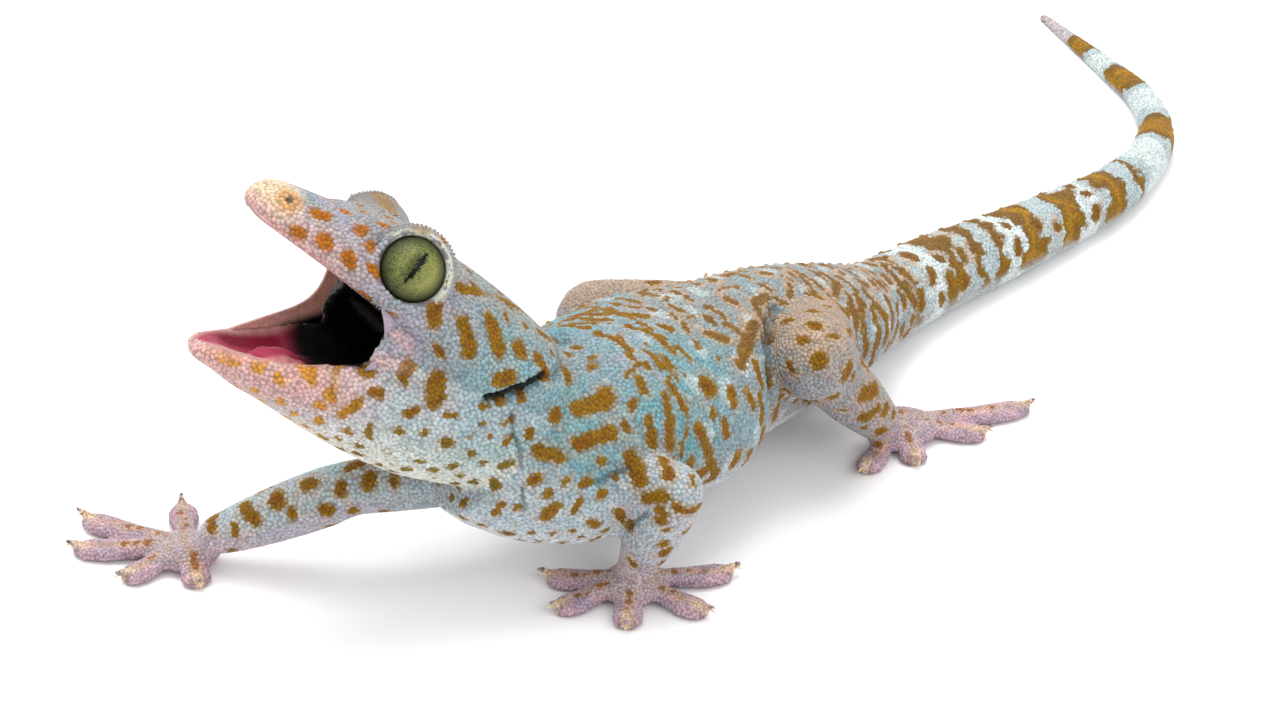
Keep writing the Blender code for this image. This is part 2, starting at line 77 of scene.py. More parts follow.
# Each node's name, and its name without its side.
NAMES = np.array(FLESH)
KINDS = np.array([name.removesuffix("_left").removesuffix("_right") for name in FLESH])

# The head's frame: its X along the snout, its Z through the crown, its origin at the joint of the jaws.
JAW_JOINT = (0.7, -68.5, 32.5)
HEAD_TURN, HEAD_RAISE, HEAD_ROLL = math.radians(-125.1), math.radians(44.2), math.radians(16.4)
GAPE = math.radians(25.0)
HEAD = (Matrix.Translation(JAW_JOINT) @ Matrix.Rotation(HEAD_TURN, 4, "Z")
        @ Matrix.Rotation(-HEAD_RAISE, 4, "Y") @ Matrix.Rotation(HEAD_ROLL, 4, "X"))
JAW = HEAD @ Matrix.Rotation(GAPE, 4, "Y")
HALF_OPEN = HEAD @ Matrix.Rotation(GAPE / 2, 4, "Y")

# Half width and lip of the skull and of the lower jaw along the snout. The last number of each of LIPS is
# the way, up or down, that its lip's flat edge faces.
SKULL_X = (-12.5, -3.0, 4.0, 11.0, 17.0, 22.0, 27.0, 31.0, 34.0, 35.9, 36.7)
SKULL_HALF = (11.8, 13.6, 13.9, 13.1, 11.9, 10.3, 8.4, 6.7, 5.0, 3.2, 1.4)
SKULL_EDGE = (-8.0, -5.5, -3.0, -1.2, -0.2, 0.2, 0.5, 0.8, 1.1, 1.6, 2.4)
JAW_X = (-12.5, -6.0, 1.0, 8.0, 14.0, 20.0, 26.0, 30.0, 33.0, 34.7, 35.4)
JAW_HALF = (11.0, 12.4, 12.9, 12.7, 11.9, 10.4, 8.4, 6.6, 4.6, 2.9, 1.2)
JAW_EDGE = (3.0, 3.0, 2.8, 2.6, 2.2, 1.4, 0.4, -0.2, -0.6, -0.9, -1.3)
LIPS = ((HEAD, SKULL_X, SKULL_HALF, SKULL_EDGE, -1.0), (JAW, JAW_X, JAW_HALF, JAW_EDGE, 1.0))
# The mouth's hollows: the frame, the middle and the half sizes of each.
MOUTH_HOLLOWS = (
    (HALF_OPEN, (13.5, 0.0, 0.0), (18.0, 10.0, 5.4)),
    (HEAD, (19.0, 0.0, 0.2), (15.5, 7.9, 2.6)),
    (JAW, (19.0, 0.0, 0.2), (14.6, 8.3, 3.4)),
)
EYE_RADIUS = 4.6
EYE_AXIS = Vector((0.30, 0.93, 0.20)).normalized()
EYE_DISC = Vector((18.0, 10.1, 7.0))
EYE_DISC_RADIUS = 4.1
EYE_DEPTH = math.sqrt(EYE_RADIUS ** 2 - EYE_DISC_RADIUS ** 2)
NOSTRIL = (33.6, 3.5, 4.9)
EAR_SLIT = ((0.9, 13.4, -0.6), (-0.6, 13.6, 1.2), (-2.4, 13.3, 3.2), (-4.2, 12.5, 5.6))

# The spine from the nape to the tail's tip.
SPINE = (
    (4.6, -63.0, 27.5), (8.6, -57.0, 21.5), (9.0, -54.5, 19.3), (7.6, -46.0, 18.1), (7.7, -36.0, 16.8),
    (8.0, -25.0, 15.8), (8.1, -15.2, 14.5), (7.3, -1.0, 11.0), (6.0, 11.9, 7.6), (5.3, 28.5, 6.0),
    (7.3, 44.3, 5.4),
    (8.6, 59.3, 4.7), (9.3, 72.8, 4.1), (6.7, 87.5, 3.4), (1.6, 98.8, 2.9), (-7.6, 108.9, 2.2),
    (-19.0, 115.8, 1.6), (-29.4, 121.5, 1.0), (-42.6, 128.7, 0.4),
)
ARMS = {
    "left": ((11.0, -58.5, 16.5), (27.4, -56.4, 19.2), (21.0, -56.6, 5.0)),
    "right": ((2.5, -61.0, 14.5), (-10.6, -78.2, 13.2), (-24.7, -90.0, 5.0)),
}
LEGS = {
    "left": ((7.0, -6.0, 12.5), (22.5, -22.5, 21.5), (24.4, -8.7, 5.0)),
    "right": ((4.0, -8.0, 10.5), (-16.0, -24.6, 12.8), (-17.4, -6.0, 4.6)),
}
PALMS = {"left": (20.9, -57.6), "right": (-28.6, -92.4)}
SOLES = {"left": (24.6, -3.6), "right": (-17.6, 1.0)}
FINGER_TIPS = {
    "left": ((11.0, -63.2), (16.4, -67.5), (25.6, -64.0), (31.4, -55.0), (28.2, -46.2)),
    "right": ((-22.8, -95.4), (-31.2, -101.2), (-41.2, -101.4), (-45.6, -96.2), (-38.2, -85.4)),
}
TOE_TIPS = {
    "left": ((26.4, -14.8), (30.7, -8.2), (33.6, 4.0), (34.2, 13.9), (17.8, -0.8)),
    "right": ((-23.0, -5.2), (-26.0, 2.2), (-24.4, 9.8), (-18.0, 13.8), (-11.4, 8.6)),
}
# Each toe: the middle of its hand or foot, its tip, and the height of the hand's or foot's top.
TOES = [(middle, tip, top) for middles, tips, top in ((PALMS, FINGER_TIPS, 3.2), (SOLES, TOE_TIPS, 3.6))
        for side, middle in middles.items() for tip in tips[side]]

# Skin: how far each solid grows to close the gaps, the size of its net, and how near points are one.
GROW, VOXEL, WELD = 0.17, 0.54, 0.00001
# How many rows of its net are smoothed beside each joint, and how many times all of it and the joints are.
JOINT_ROWS, SMOOTH_ROUNDS, JOINT_ROUNDS = 9, 2, 22

# The scales: how far apart they stand, how many places are tried for each, how near it lets others come,
# how often they settle, and the radius and height of their rings and of their crown.
HEAD_SCALE, BODY_SCALE, LIMB_SCALE, FOOT_SCALE, BELLY_SCALE = 0.56, 0.56, 0.56, 0.47, 0.9
TRIES, CLOSEST, SETTLE_ROUNDS = 6.0, 0.80, 3
SCALE_RINGS = ((1.0, -0.5), (0.7, 0.7))
SCALE_CROWN = 1.0
# How light a scale's rim and the skin in the gaps between scales are painted: painted shade where each scale
# sinks into the skin and in the gaps between scales.
RIM_SHADE, GAP_SHADE = 0.66, 0.85
# A scale's width, length and height on the trunk and elsewhere as shares of its spacing, and how it leans.
SCALE_WIDTH, SCALE_LENGTH, FLAT_HEIGHT, SCALE_HEIGHT, SCALE_LEAN = 0.65, 0.68, 0.14, 0.2, 0.12
TUBERCLE_RINGS = ((1.0, -0.3), (0.82, 0.25), (0.5, 0.8))
TUBERCLE_ROWS, TAIL_RINGS = 4.0, 4.6
# The size of a scale's patch on the flat map.
PATCH = 0.003
COAT_PIECES = {
    "head": ("head",), "jaw": ("lower_jaw",), "neck": ("neck",), "torso": ("torso",), "tail": TRUNK[2:],
    "arms": LIMBS[:3], "legs": LIMBS[3:],
}

# The markings. Dashes stand in rows: the first, last and step of their places along the spine, then in
# degrees the step and the limits of their angle from its top, and the ranges of half width and half turn.
DASH_ROWS = (
    (9.0, 84.0, 2.4, 15.0, 0.0, 52.0, 0.45, 0.68, 0.04, 0.09),
    (9.0, 84.0, 3.2, 21.0, 52.0, 122.0, 0.7, 1.1, 0.04, 0.15),
    (85.0, 135.0, 4.6, 42.0, 0.0, 110.0, 0.7, 1.15, 0.02, 0.16),
)
BLOTCH_ROWS, TAIL_START = 3.7, 82.0
# Each ochre band of the tail: its place along the spine and its half length. Whiter skin lies before some.
TAIL_BANDS = (
    (84.5, 0.9), (96.5, 1.5), (103.8, 1.2), (108.3, 0.9), (115.8, 2.6), (126.0, 2.4), (137.8, 2.7),
    (145.8, 1.1), (166.0, 4.8), (190.0, 4.4), (207.5, 3.8),
)
TAIL_WHITES = ((91.5, 2.4), (111.6, 1.9), (131.0, 2.4), (154.3, 4.6), (178.5, 5.0), (199.0, 3.4))

# The eyes: the way of the slit in the head's frame, and (radius, height) of the lid round the eye's disc.
SLIT_WAY = (-0.116, -0.173, 0.978)
SLIT_HALF_LENGTH, SLIT_HALF_WIDTH = 2.6, 0.36
LID_PROFILE = ((3.9, -0.9), (4.12, 0.0), (4.22, 0.35), (4.5, 0.42), (4.85, 0.25), (5.1, -0.3),
               (5.2, -2.6), (4.9, -5.0))
LID_MIDDLE, LID_FADES, LID_ENDS = math.radians(71.0), math.radians(84.0), math.radians(104.0)
LID_GOLD = math.radians(118.0)
# How far round the eye the skin has no scales, below it and above it.
BARE_BELOW, BARE_ABOVE = 4.35, 5.45
IRIS_OLIVE, IRIS_DARK, IRIS_GOLD, IRIS_RIM = "#69703e", "#3a4426", "#a5a35e", "#10170d"
IRIS_EDGE, SLIT_BLACK = "#050704", "#040503"
# The part of the iris map that a millimetre takes up.
IRIS_MAP = 0.05

# How finely the eyeballs, lids, webs and claws are cut, and how many places for small spots are tried.
BALL_CUTS, LID_CUTS, WEB_CUTS, CLAW_CUTS = (64, 40), 120, (28, 20), (10, 8)
STREWN_TRIES = 9000

# Claws and teeth.
CLAW_ROOT, CLAW_BEND, CLAW_TURN, CLAW_LEAN = 0.42, 1.9, math.radians(70.0), math.radians(35.0)
CLAW_PLACE = (-0.6, 0.0, 1.25)
TEETH_FROM, TEETH_TO, TOOTH_STEP = 15.0, 24.0, 0.42
TOOTH_RADIUS, TOOTH_HEIGHT, TOOTH_INSET = 0.13, 0.5, 1.9

# The webs at the corners of the mouth: side, where each lip's end of the free edge is, and how far it sags.
WEBS = ((1, 18.5, 16.5, 1.4), (-1, 18.5, 30.0, 3.9))
WEB_CORNER, WEB_INSET, WEB_THICKNESS = 8.0, 1.3, 0.3
# The size of the tongue's net.
TONGUE_VOXEL = 0.4
# The height of the lips' rims along the snout, each in its own frame.
RIM_X = (8.0, 14.0, 17.0, 20.0, 24.0, 28.0, 31.0)
UPPER_RIM = (-1.5, 0.0, 0.9, 1.1, 1.2, 1.3, 1.4)
LOWER_RIM = (1.6, 1.2, 0.3, 0.1, -0.4, -0.8, -0.9)

# Creases and ridges of the skin: frame, on both sides or not, line, half width and rise.
BODY = Matrix.Identity(4)
FOLDS = (
    (HEAD, True, EAR_SLIT, 0.7, -1.5),
    (HEAD, True, ((1.0, 13.6, 0.5), (-0.5, 13.8, 2.4), (-2.2, 13.2, 4.4), (-4.0, 12.4, 6.6)), 0.9, 0.4),
    (HEAD, True, ((-10.2, 0.0, 10.3), (-7.0, 5.7, 9.5), (-7.4, 8.6, 8.0), (-6.0, 11.6, 6.0)), 0.8, -0.45),
    (HEAD, True, ((-1.7, 13.3, -0.1), (-3.9, 12.7, -1.6), (-6.4, 12.2, -3.1), (-8.6, 12.0, -5.2),
                  (-11.0, 12.2, -7.6), (-13.4, 11.6, -9.6)), 0.8, 0.5),
    (HEAD, True, ((-2.9, 13.3, -0.5), (-5.1, 12.7, -2.3), (-7.6, 12.2, -3.8), (-9.8, 12.0, -6.0),
                  (-12.1, 12.2, -8.4), (-14.3, 11.6, -10.4)), 0.5, -0.55),
    (HEAD, True, ((12.2, 8.9, 9.0), (12.9, 10.9, 7.7), (14.0, 12.1, 6.2)), 0.4, -0.7),
    (HEAD, True, ((22.9, 8.2, 6.6), (22.7, 7.4, 8.1)), 0.4, -0.5),
    (HEAD, True, ((15.3, 11.6, 0.3), (13.2, 12.4, 0.4), (11.6, 12.8, 0.2)), 0.4, -0.5),
    (BODY, False, ((20.3, -63.4, 20.8), (21.0, -61.5, 21.4), (21.7, -59.6, 21.6)), 0.6, -0.6),
    (BODY, False, ((22.1, -59.3, 12.4), (24.0, -59.8, 14.8), (25.9, -60.2, 17.0)), 0.5, -0.6),
    (BODY, False, ((20.6, -28.6, 14.0), (20.8, -29.3, 16.9), (20.8, -29.8, 19.7), (19.5, -28.8, 21.9),
                   (17.7, -26.9, 23.6), (15.8, -23.9, 24.6), (14.2, -20.5, 25.1)), 0.9, -0.9),
)
# Swellings and pits on either side of the head: middle, radius and rise.
HEAD_SWELLS = (
    (NOSTRIL, 1.2, 0.3), (NOSTRIL, 0.55, -0.8), ((14.4, 12.1, 1.9), 1.5, 0.55),
    ((14.0, 11.8, -1.3), 1.4, 0.5), ((24.5, 4.2, 7.6), 2.2, 0.3),
)
PALATE_STRIPE = ((20.0, 9.5, 0.2), (15.6, 9.8, -0.6), (11.6, 9.6, -1.5), (7.3, 9.2, -2.3))

# The room and the camera.
FLOOR_HALF, FLOOR_WHITE = 2.0, "#f4f3f4"
ROOM_LIGHT, LIT_PLACE = 0.95, Vector((0.0, 0.0, 0.02))
LENS, SENSOR = 75.94, 36.0
CAMERA_PLACE, CAMERA_TURN = (0.2205, -0.2843, 0.2168), (math.radians(58.0), 0.0, math.radians(42.0))
LAMPS = (
    ("over", (-0.15, 0.05, 0.9), 0.6, 6.0),
    ("left", (-0.7, -0.5, 0.5), 0.5, 1.6),
    ("right", (0.75, -0.1, 0.6), 0.5, 2.4),
)

# Each mark is a row of seven numbers: the place it starts from, the place it ends at and its half width.
# Those of the head are in its frame, on its left side, and those of the jaw are in the head's frame too.
# Those of the body's left side and of the limbs are in the gecko's own coordinates.
HEAD_MARKS = (
    (-8.7, 9.1, 7.1, -9, 8.6, 7.4, 1.2), (-9.5, 11.3, 2, -8.8, 12.2, 2.6, 1),
    (-3, 6.5, 9.6, -5.8, 5, 9.5, 0.7), (-4.8, 11.4, 6, -2.5, 11.3, 6.8, 0.9),
    (-3, 13.5, 1.7, -2.5, 12.4, 2.4, 0.6), (0.1, 11.8, 6.3, 0.7, 11.3, 6.7, 1),
    (1.3, 13.6, 2.1, 0.3, 13.5, 3.2, 1.2), (3.2, 12.3, 5.1, 5.7, 10.8, 7.1, 1.2),
    (11.1, 9.3, 8.3, -0.3, 3.9, 10.3, 0.8), (6.8, 13.3, 2.7, 9.3, 12, 5.4, 1.1),
    (9.3, 12.8, 0.6, 10.6, 12.7, 1, 0.7), (13.1, 12.4, 3.6, 13.3, 11.9, 4.8, 1.1),
    (17.3, 10.3, 1.1, 16.9, 11.2, 1.5, 0.3), (21.3, 9.1, 1.2, 20, 9.4, 1.2, 0.5),
    (21.4, 10.2, 4, 22.7, 9.6, 4.3, 0.5), (23.3, 8.3, 6.2, 23.4, 8, 6.4, 0.7),
    (24.6, 9.2, 3, 25.3, 8.8, 3.6, 0.9), (25.1, 6.2, 7, 24.8, 6.5, 7, 0.9),
    (26.9, 3, 7.4, 26.3, 3.3, 7.6, 0.6), (28.3, 7.6, 3.3, 28.6, 7.4, 3.4, 1),
    (30.1, 4.9, 5.6, 29.2, 4.9, 5.9, 0.9), (31.8, 6.2, 2.3, 31.2, 6.5, 2.5, 0.8),
    (33.9, 2.3, 4.0, 31.7, 3.4, 4.9, 0.7),
)
JAW_MARKS = (
    (-7.9, 11.9, -5.6, -7.4, 11.8, -6.4, 0.7), (-7, 12.7, -1.1, -7.4, 12.5, -1.8, 0.7),
    (-5.3, 12.4, -3.2, -5.3, 12.4, -4.1, 0.5), (-4.9, 11.6, -7.4, -4.8, 11.5, -7.7, 0.5),
    (-3.8, 12.9, -1.1, -3.2, 12.7, -2, 0.5), (-2.3, 12, -7.5, -2.2, 12, -7.5, 0.8),
    (-1.8, 11.6, 0.3, -0.7, 13.2, -0, 0.6), (-0.7, 12.8, -3.5, -0.5, 12.8, -3.8, 0.4),
    (-0.8, 12.7, -5.1, -0.4, 12.6, -6, 0.3), (-0, 12.7, -1.6, 0.7, 12.8, -1.9, 0.4),
    (1.7, 12.4, -8.1, 1.2, 12.3, -8.2, 0.8), (1.8, 10.4, -12, 2.2, 10.5, -12, 0.5),
    (2.9, 12.8, -4.6, 4.2, 12.8, -5.2, 0.4), (3.7, 8.5, -14.3, 4.4, 8.6, -14.3, 0.2),
    (4.4, 11.1, -11.6, 4.1, 11.2, -11.3, 0.2), (4.8, 12.4, -8.2, 4.8, 12.4, -8.5, 0.6),
    (5.8, 10, -13.4, 6.6, 9.9, -13.4, 0.3), (8, 12.7, -2.2, 6.5, 12.8, -4.1, 1.3),
    (7.3, 11.9, -10.3, 7.5, 11.8, -10.4, 0.7), (7.5, 12.5, -6.8, 8.2, 12.4, -7.7, 0.6),
    (10.8, 11.1, -11.7, 9.7, 10.5, -12.8, 0.5), (11.9, 12.3, -2.9, 11.2, 12.1, -4.7, 1.1),
    (11.5, 8, -15.3, 12, 7.9, -15.4, 0.4), (12.5, 11.7, -7.6, 13.5, 11.5, -8, 0.7),
    (14, 11.2, -10, 14.3, 10.4, -12.3, 0.7), (14.6, 9.7, -6.4, 15.1, 9.9, -6.8, 1),
    (15.7, 8.8, -14.5, 15.5, 8.3, -15, 0.6), (16.8, 9.7, -13, 17.5, 9.6, -13.1, 0.5),
    (17.9, 8.7, -8.1, 17.1, 10.3, -11.2, 0.9), (18.1, 7.2, -15.7, 18.1, 6.7, -16, 0.5),
    (21.4, 7.9, -10.4, 20.3, 9.3, -10.9, 1), (23.3, 8.1, -13.2, 22.5, 8.3, -13.4, 0.7),
    (25.4, 6.7, -12.8, 25.6, 6.9, -13.3, 1), (27.7, 5.7, -14.7, 29.2, 4.3, -14.8, 0.8),
    (30.5, 3.2, -15.7, 30.4, 3.3, -15.8, 0.4), (-9.3, -2, -14.1, -9.3, -2.9, -14.4, 0.4),
    (-9.3, 7.7, -10.6, -9.3, 6.7, -11, 0.5),
)
BODY_MARKS = (
    (21.5, -61, 15.9, 21, -59.8, 13.4, 0.8), (15.7, -65.2, 10.4, 15.3, -65.5, 10.2, 0.6),
    (19.7, -63.4, 13.9, 19.6, -64.1, 14.8, 0.8), (21, -54.6, 26.4, 22.2, -55.3, 23.5, 0.8),
    (21.2, -61.2, 20.8, 21.2, -61.2, 20.7, 0.5), (19.2, -66, 18.5, 18.9, -66.5, 17.3, 0.6),
    (19.9, -57.9, 26.7, 20.3, -58, 26, 0.8), (17.9, -53, 30.1, 19, -53.1, 29.2, 0.9),
    (20, -62.6, 23.5, 20, -62.6, 23.5, 0.7), (19.6, -64.6, 21.4, 19.3, -65.4, 21, 0.7),
    (17.4, -68.9, 18.2, 16.8, -69.4, 17.2, 1), (13.8, -71.7, 15.3, 13.5, -71.8, 15.2, 0.3),
    (19.5, -60, 26.3, 17.7, -64.7, 26, 1.1), (18.3, -66.9, 22, 18.1, -67.4, 21.8, 0.7),
    (17.1, -69.3, 20.6, 16.8, -69.7, 20.3, 0.6), (16.9, -58, 29.7, 15.9, -62.2, 29.4, 1.2),
    (14.8, -72.3, 19.3, 14.6, -72.5, 18.8, 0.5), (12.9, -56.5, 31.7, 13, -56.8, 31.7, 0.6),
    (16.1, -70.4, 23, 15.8, -70.9, 22.7, 0.8), (13.3, -73.9, 19.7, 12.2, -74.2, 17.8, 0.5),
    (9.3, -55.2, 32.4, 8.9, -55.6, 32.4, 0.5), (17.1, -67.3, 25.1, 15.6, -69.3, 26.6, 1),
    (14.3, 1.4, 16.6, 15.6, 3.3, 12.9, 1), (15.7, -6.4, 18.9, 19.1, -10.5, 20.8, 0.9),
    (12, -4, 20.7, 13.7, -6.8, 21.1, 0.8), (11.5, -14.4, 25.1, 13.7, -17.1, 24.7, 0.5),
    (12.3, -20.7, 26.2, 12.5, -22.5, 26.4, 0.8), (15.2, -26.9, 26, 19.9, -35, 25.2, 1.1),
    (23, -41.9, 20.8, 23.5, -42, 18.8, 0.6), (22.3, -46.6, 21.7, 22.6, -43.6, 13.4, 0.9),
    (21.9, -39.4, 23.7, 22.8, -39.7, 22.1, 0.7), (8.4, -24.2, 27.5, 7.9, -24.5, 27.6, 0.4),
    (9, -26.9, 27.9, 8.7, -27.1, 28, 0.3), (13.3, -30.8, 27.8, 13.6, -30.8, 27.7, 0.4),
    (18.9, -36.4, 26.3, 19.2, -36.7, 26.1, 0.3), (22.1, -43.4, 22.8, 22.4, -43.5, 22, 0.5),
    (18.4, -38.2, 26.9, 18.8, -38.3, 26.6, 0.3), (16.5, -34.4, 27.3, 14.9, -36, 28.2, 0.8),
    (22.8, -50.5, 21, 22.8, -50.3, 19.3, 0.6), (20.1, -42.7, 25.7, 20.6, -42.7, 25.2, 1.4),
    (20.8, -47, 25.6, 22.4, -49, 21.9, 0.5), (15.3, -39.2, 28.5, 16.4, -39.5, 28.1, 0.5),
    (11.4, -34.9, 28.9, 10.8, -35.6, 29.1, 0.4), (18.5, -45.1, 27.7, 18.8, -45.1, 27.4, 0.3),
    (20.1, -50.4, 27.5, 21.9, -51.6, 24.8, 0.8), (18.5, -48, 28.6, 18.7, -47.9, 28.4, 0.3),
    (7, -38, 29.6, 6.1, -38.3, 29.6, 0.5), (15.7, -43.7, 29.1, 12.3, -43.7, 30.2, 0.6),
    (13.3, -46.5, 30.8, 13.4, -46.9, 30.9, 0.3), (16.5, -50.2, 30.7, 16.8, -50.1, 30.5, 0.6),
    (10, -47.4, 31.6, 9.8, -47.9, 31.7, 0.3),
)
LIMB_MARKS = (
    (22.9, -59.3, 6.8, 22.3, -59.5, 7.3, 0.5), (27.5, -58.7, 12.4, 27.2, -58.7, 11.8, 0.5),
    (28.4, -59, 15, 28, -59.3, 14.8, 0.4), (27.8, -59.8, 16.2, 27.5, -59.9, 16.4, 0.7),
    (29.5, -55.6, 21.8, 30.1, -56.2, 21.5, 0.4), (29.9, -58.5, 18.5, 29.7, -59, 19, 0.6),
    (28.1, -59.5, 20.3, 25.5, -60.3, 19, 0.7), (24.7, -55.6, 22.3, 27.6, -58, 22.2, 0.7),
    (21.7, -58.7, 22.8, 24.1, -59.8, 20.9, 0.9), (-10.4, -82.8, 12.1, -10.6, -83, 12.3, 0.8),
    (-13.3, -82.6, 14.7, -14.1, -83, 14.3, 0.9), (-16.9, -85.7, 12.4, -16.7, -85.9, 12.2, 1),
    (-20.8, -88.1, 10.2, -18.4, -88.3, 9.7, 0.8), (-20.8, -90, 8.2, -20.6, -90.2, 7.5, 0.6),
    (-25.1, -90.1, 7.6, -23.9, -91.3, 7.1, 0.7), (-4.8, -75.8, 15.7, -4.7, -76, 15.2, 0.6),
    (-8.2, -80.2, 11.8, -8.3, -80.2, 11.8, 0.7), (-7.1, -77.4, 16.1, -7, -78.2, 15.5, 0.7),
    (-10, -77.2, 16.8, -10.3, -78.3, 16.7, 0.9), (-9.6, -80.8, 15.2, -9.3, -81.1, 14.5, 0.7),
    (27.4, -12.1, 10, 27.5, -12.2, 10, 1), (27.2, -14.3, 14.6, 27.5, -17.7, 15.5, 1),
    (28.1, -22.1, 21.9, 28.1, -22.5, 21.2, 1), (26.2, -25.9, 24.4, 26.1, -26.1, 24.2, 1.1),
    (25.9, -22.3, 26, 25.6, -22.8, 26.2, 0.4), (22.8, -28.1, 22.9, 23.5, -28, 22.3, 0.6),
    (23.7, -23, 27, 22.5, -23.4, 27.1, 0.7), (18.9, -23, 26, 17.3, -22.4, 25.1, 0.5),
    (23.5, -25.7, 26.2, 23, -25.9, 26.1, 0.6), (15.5, -12.3, 23.5, 13.3, -11.5, 23.3, 0.6),
)
# Small spots of the tail's left side between its bands.
TAIL_MARKS = (
    (11.9, 12.4, 10.9, 12.2, 12.3, 10.2, 0.8), (9.1, 11.6, 14, 10.1, 11.4, 13.7, 0.9),
    (11.3, 22.9, 7.1, 12, 23.5, 5.5, 1), (8.9, 33.5, 10.3, 9.6, 33.1, 9.7, 0.6),
)


def placed(points):
    """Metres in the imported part's frame for points in millimetres in the gecko's own coordinates."""
    return (np.asarray(points, float) - BOX_MIDDLE) * MM


def measured(points):
    """The gecko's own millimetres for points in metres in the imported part's frame."""
    return np.asarray(points, float) / MM + BOX_MIDDLE


def into(frame, points):
    """Points of the gecko's coordinates as a frame of it, such as the head's, sees them."""
    turn = np.array(frame.to_3x3())
    return (np.asarray(points, float) - np.array(frame.translation)) @ turn


def out_of(frame, points):
    """Points of a frame in the gecko's own coordinates."""
    turn = np.array(frame.to_3x3())
    return np.asarray(points, float) @ turn.T + np.array(frame.translation)


def ramp(values, low, high):
    """A smooth step from 0 at low to 1 at high, which may be the smaller of the two."""
    share = np.clip((np.asarray(values, float) - low) / (high - low), 0.0, 1.0)
    return share * share * (3.0 - 2.0 * share)


def waves(points, length, seed):
    """Smooth random values from about -1 to 1 at points, as large across as length."""
    draw = np.random.default_rng(seed)
    total = np.zeros(len(points))
    count = 12
    for _ in range(count):
        way = draw.normal(size=3)
        way *= 2 * math.pi / (length * 2.2 * np.linalg.norm(way) * draw.uniform(0.7, 1.5))
        total += np.sin(np.asarray(points) @ way + draw.uniform(0, 2 * math.pi))
    return total * math.sqrt(2.0 / count) * 0.7


def vertex_points(mesh):
    """A mesh's vertices in the gecko's own millimetres."""
    flat = np.empty(len(mesh.vertices) * 3)
    mesh.vertices.foreach_get("co", flat)
    return measured(flat.reshape(-1, 3))


def vertex_normals(mesh):
    flat = np.empty(len(mesh.vertices) * 3)
    mesh.vertex_normals.foreach_get("vector", flat)
    return flat.reshape(-1, 3)


def move_vertices(mesh, points):
    mesh.vertices.foreach_set("co", placed(points).ravel())
    mesh.update()


def linked(mesh, name):
    """A new object of a mesh."""
    mesh.name = name
    thing = bpy.data.objects.new(name, mesh)
    bpy.context.scene.collection.objects.link(thing)
    return thing


def applied(thing):
    """The object's mesh with its modifiers in it."""
    shape = bpy.context.evaluated_depsgraph_get()
    mesh = bpy.data.meshes.new_from_object(thing.evaluated_get(shape))
    old = thing.data
    thing.modifiers.clear()
    thing.data = mesh
    bpy.data.meshes.remove(old)
    return mesh


def add_part(whole, part):
    """Puts a bmesh into a larger one."""
    mesh = bpy.data.meshes.new("part")
    part.to_mesh(mesh)
    part.free()
    whole.from_mesh(mesh)
    bpy.data.meshes.remove(mesh)


def tree_of(points):
    """A search for the nearest of some points."""
    tree = kdtree.KDTree(len(points))
    for k, point in enumerate(points):
        tree.insert(point, k)
    tree.balance()
    return tree


def joined_flesh():
    """The flesh nodes in one mesh, each a little grown, so that the thin gaps between them close."""
    whole = bmesh.new()
    for name in FLESH:
        part = bmesh.new()
        part.from_mesh(frame["nodes"][name].data)
        bmesh.ops.remove_doubles(part, verts=part.verts, dist=WELD)
        part.normal_update()
        for vert in part.verts:
            vert.co += vert.normal * GROW * MM
        add_part(whole, part)
    mesh = bpy.data.meshes.new("skin")
    whole.to_mesh(mesh)
    whole.free()
    return mesh


def face_search(names):
    """A search for the nearest face of some CAD nodes, and the node that each face belongs to."""
    points, faces, owners = [], [], []
    for name in names:
        mesh = frame["nodes"][name].data
        first = len(points)
        points += [vert.co.copy() for vert in mesh.vertices]
        faces += [[first + i for i in face.vertices] for face in mesh.polygons]
        owners += [name] * len(mesh.polygons)
    return BVHTree.FromPolygons(points, faces), owners


def nearest_node(points):
    """The number in FLESH of the node that each point lies on."""
    search, owners = face_search(FLESH)
    numbers = np.array([FLESH.index(name) for name in owners])
    found = [search.find_nearest(Vector(point))[2] for point in placed(points)]
    return numbers[found]


class Net:
    """The edges of a mesh, to smooth values and places over it."""

    def __init__(self, mesh):
        ends = np.empty(len(mesh.edges) * 2, int)
        mesh.edges.foreach_get("vertices", ends)
        self.a, self.b = ends.reshape(-1, 2).T
        self.count = len(mesh.vertices)
        self.near = np.bincount(np.concatenate((self.a, self.b)), minlength=self.count)[:, None]

    def mean(self, values):
        """The mean over each vertex's neighbours."""
        total = np.empty_like(values)
        for k in range(values.shape[1]):
            total[:, k] = np.bincount(self.a, values[self.b, k], self.count)
            total[:, k] += np.bincount(self.b, values[self.a, k], self.count)
        return total / np.maximum(self.near, 1)

    def smooth(self, points, weight, times):
        """Points drawn to their neighbours' mean, and partly back, so that thin parts keep their girth."""
        for _ in range(times):
            points = points + (self.mean(points) - points) * weight[:, None] * 0.6
            points = points - (self.mean(points) - points) * weight[:, None] * 0.2
        return points

    def spread(self, mask, steps):
        """A mask that fades out over some rows of vertices."""
        values = mask.astype(float)
        for _ in range(steps):
            reached = values.copy()
            np.maximum.at(reached, self.a, values[self.b] - 1.0 / steps)
            np.maximum.at(reached, self.b, values[self.a] - 1.0 / steps)
            values = reached
        return np.clip(values, 0.0, 1.0)


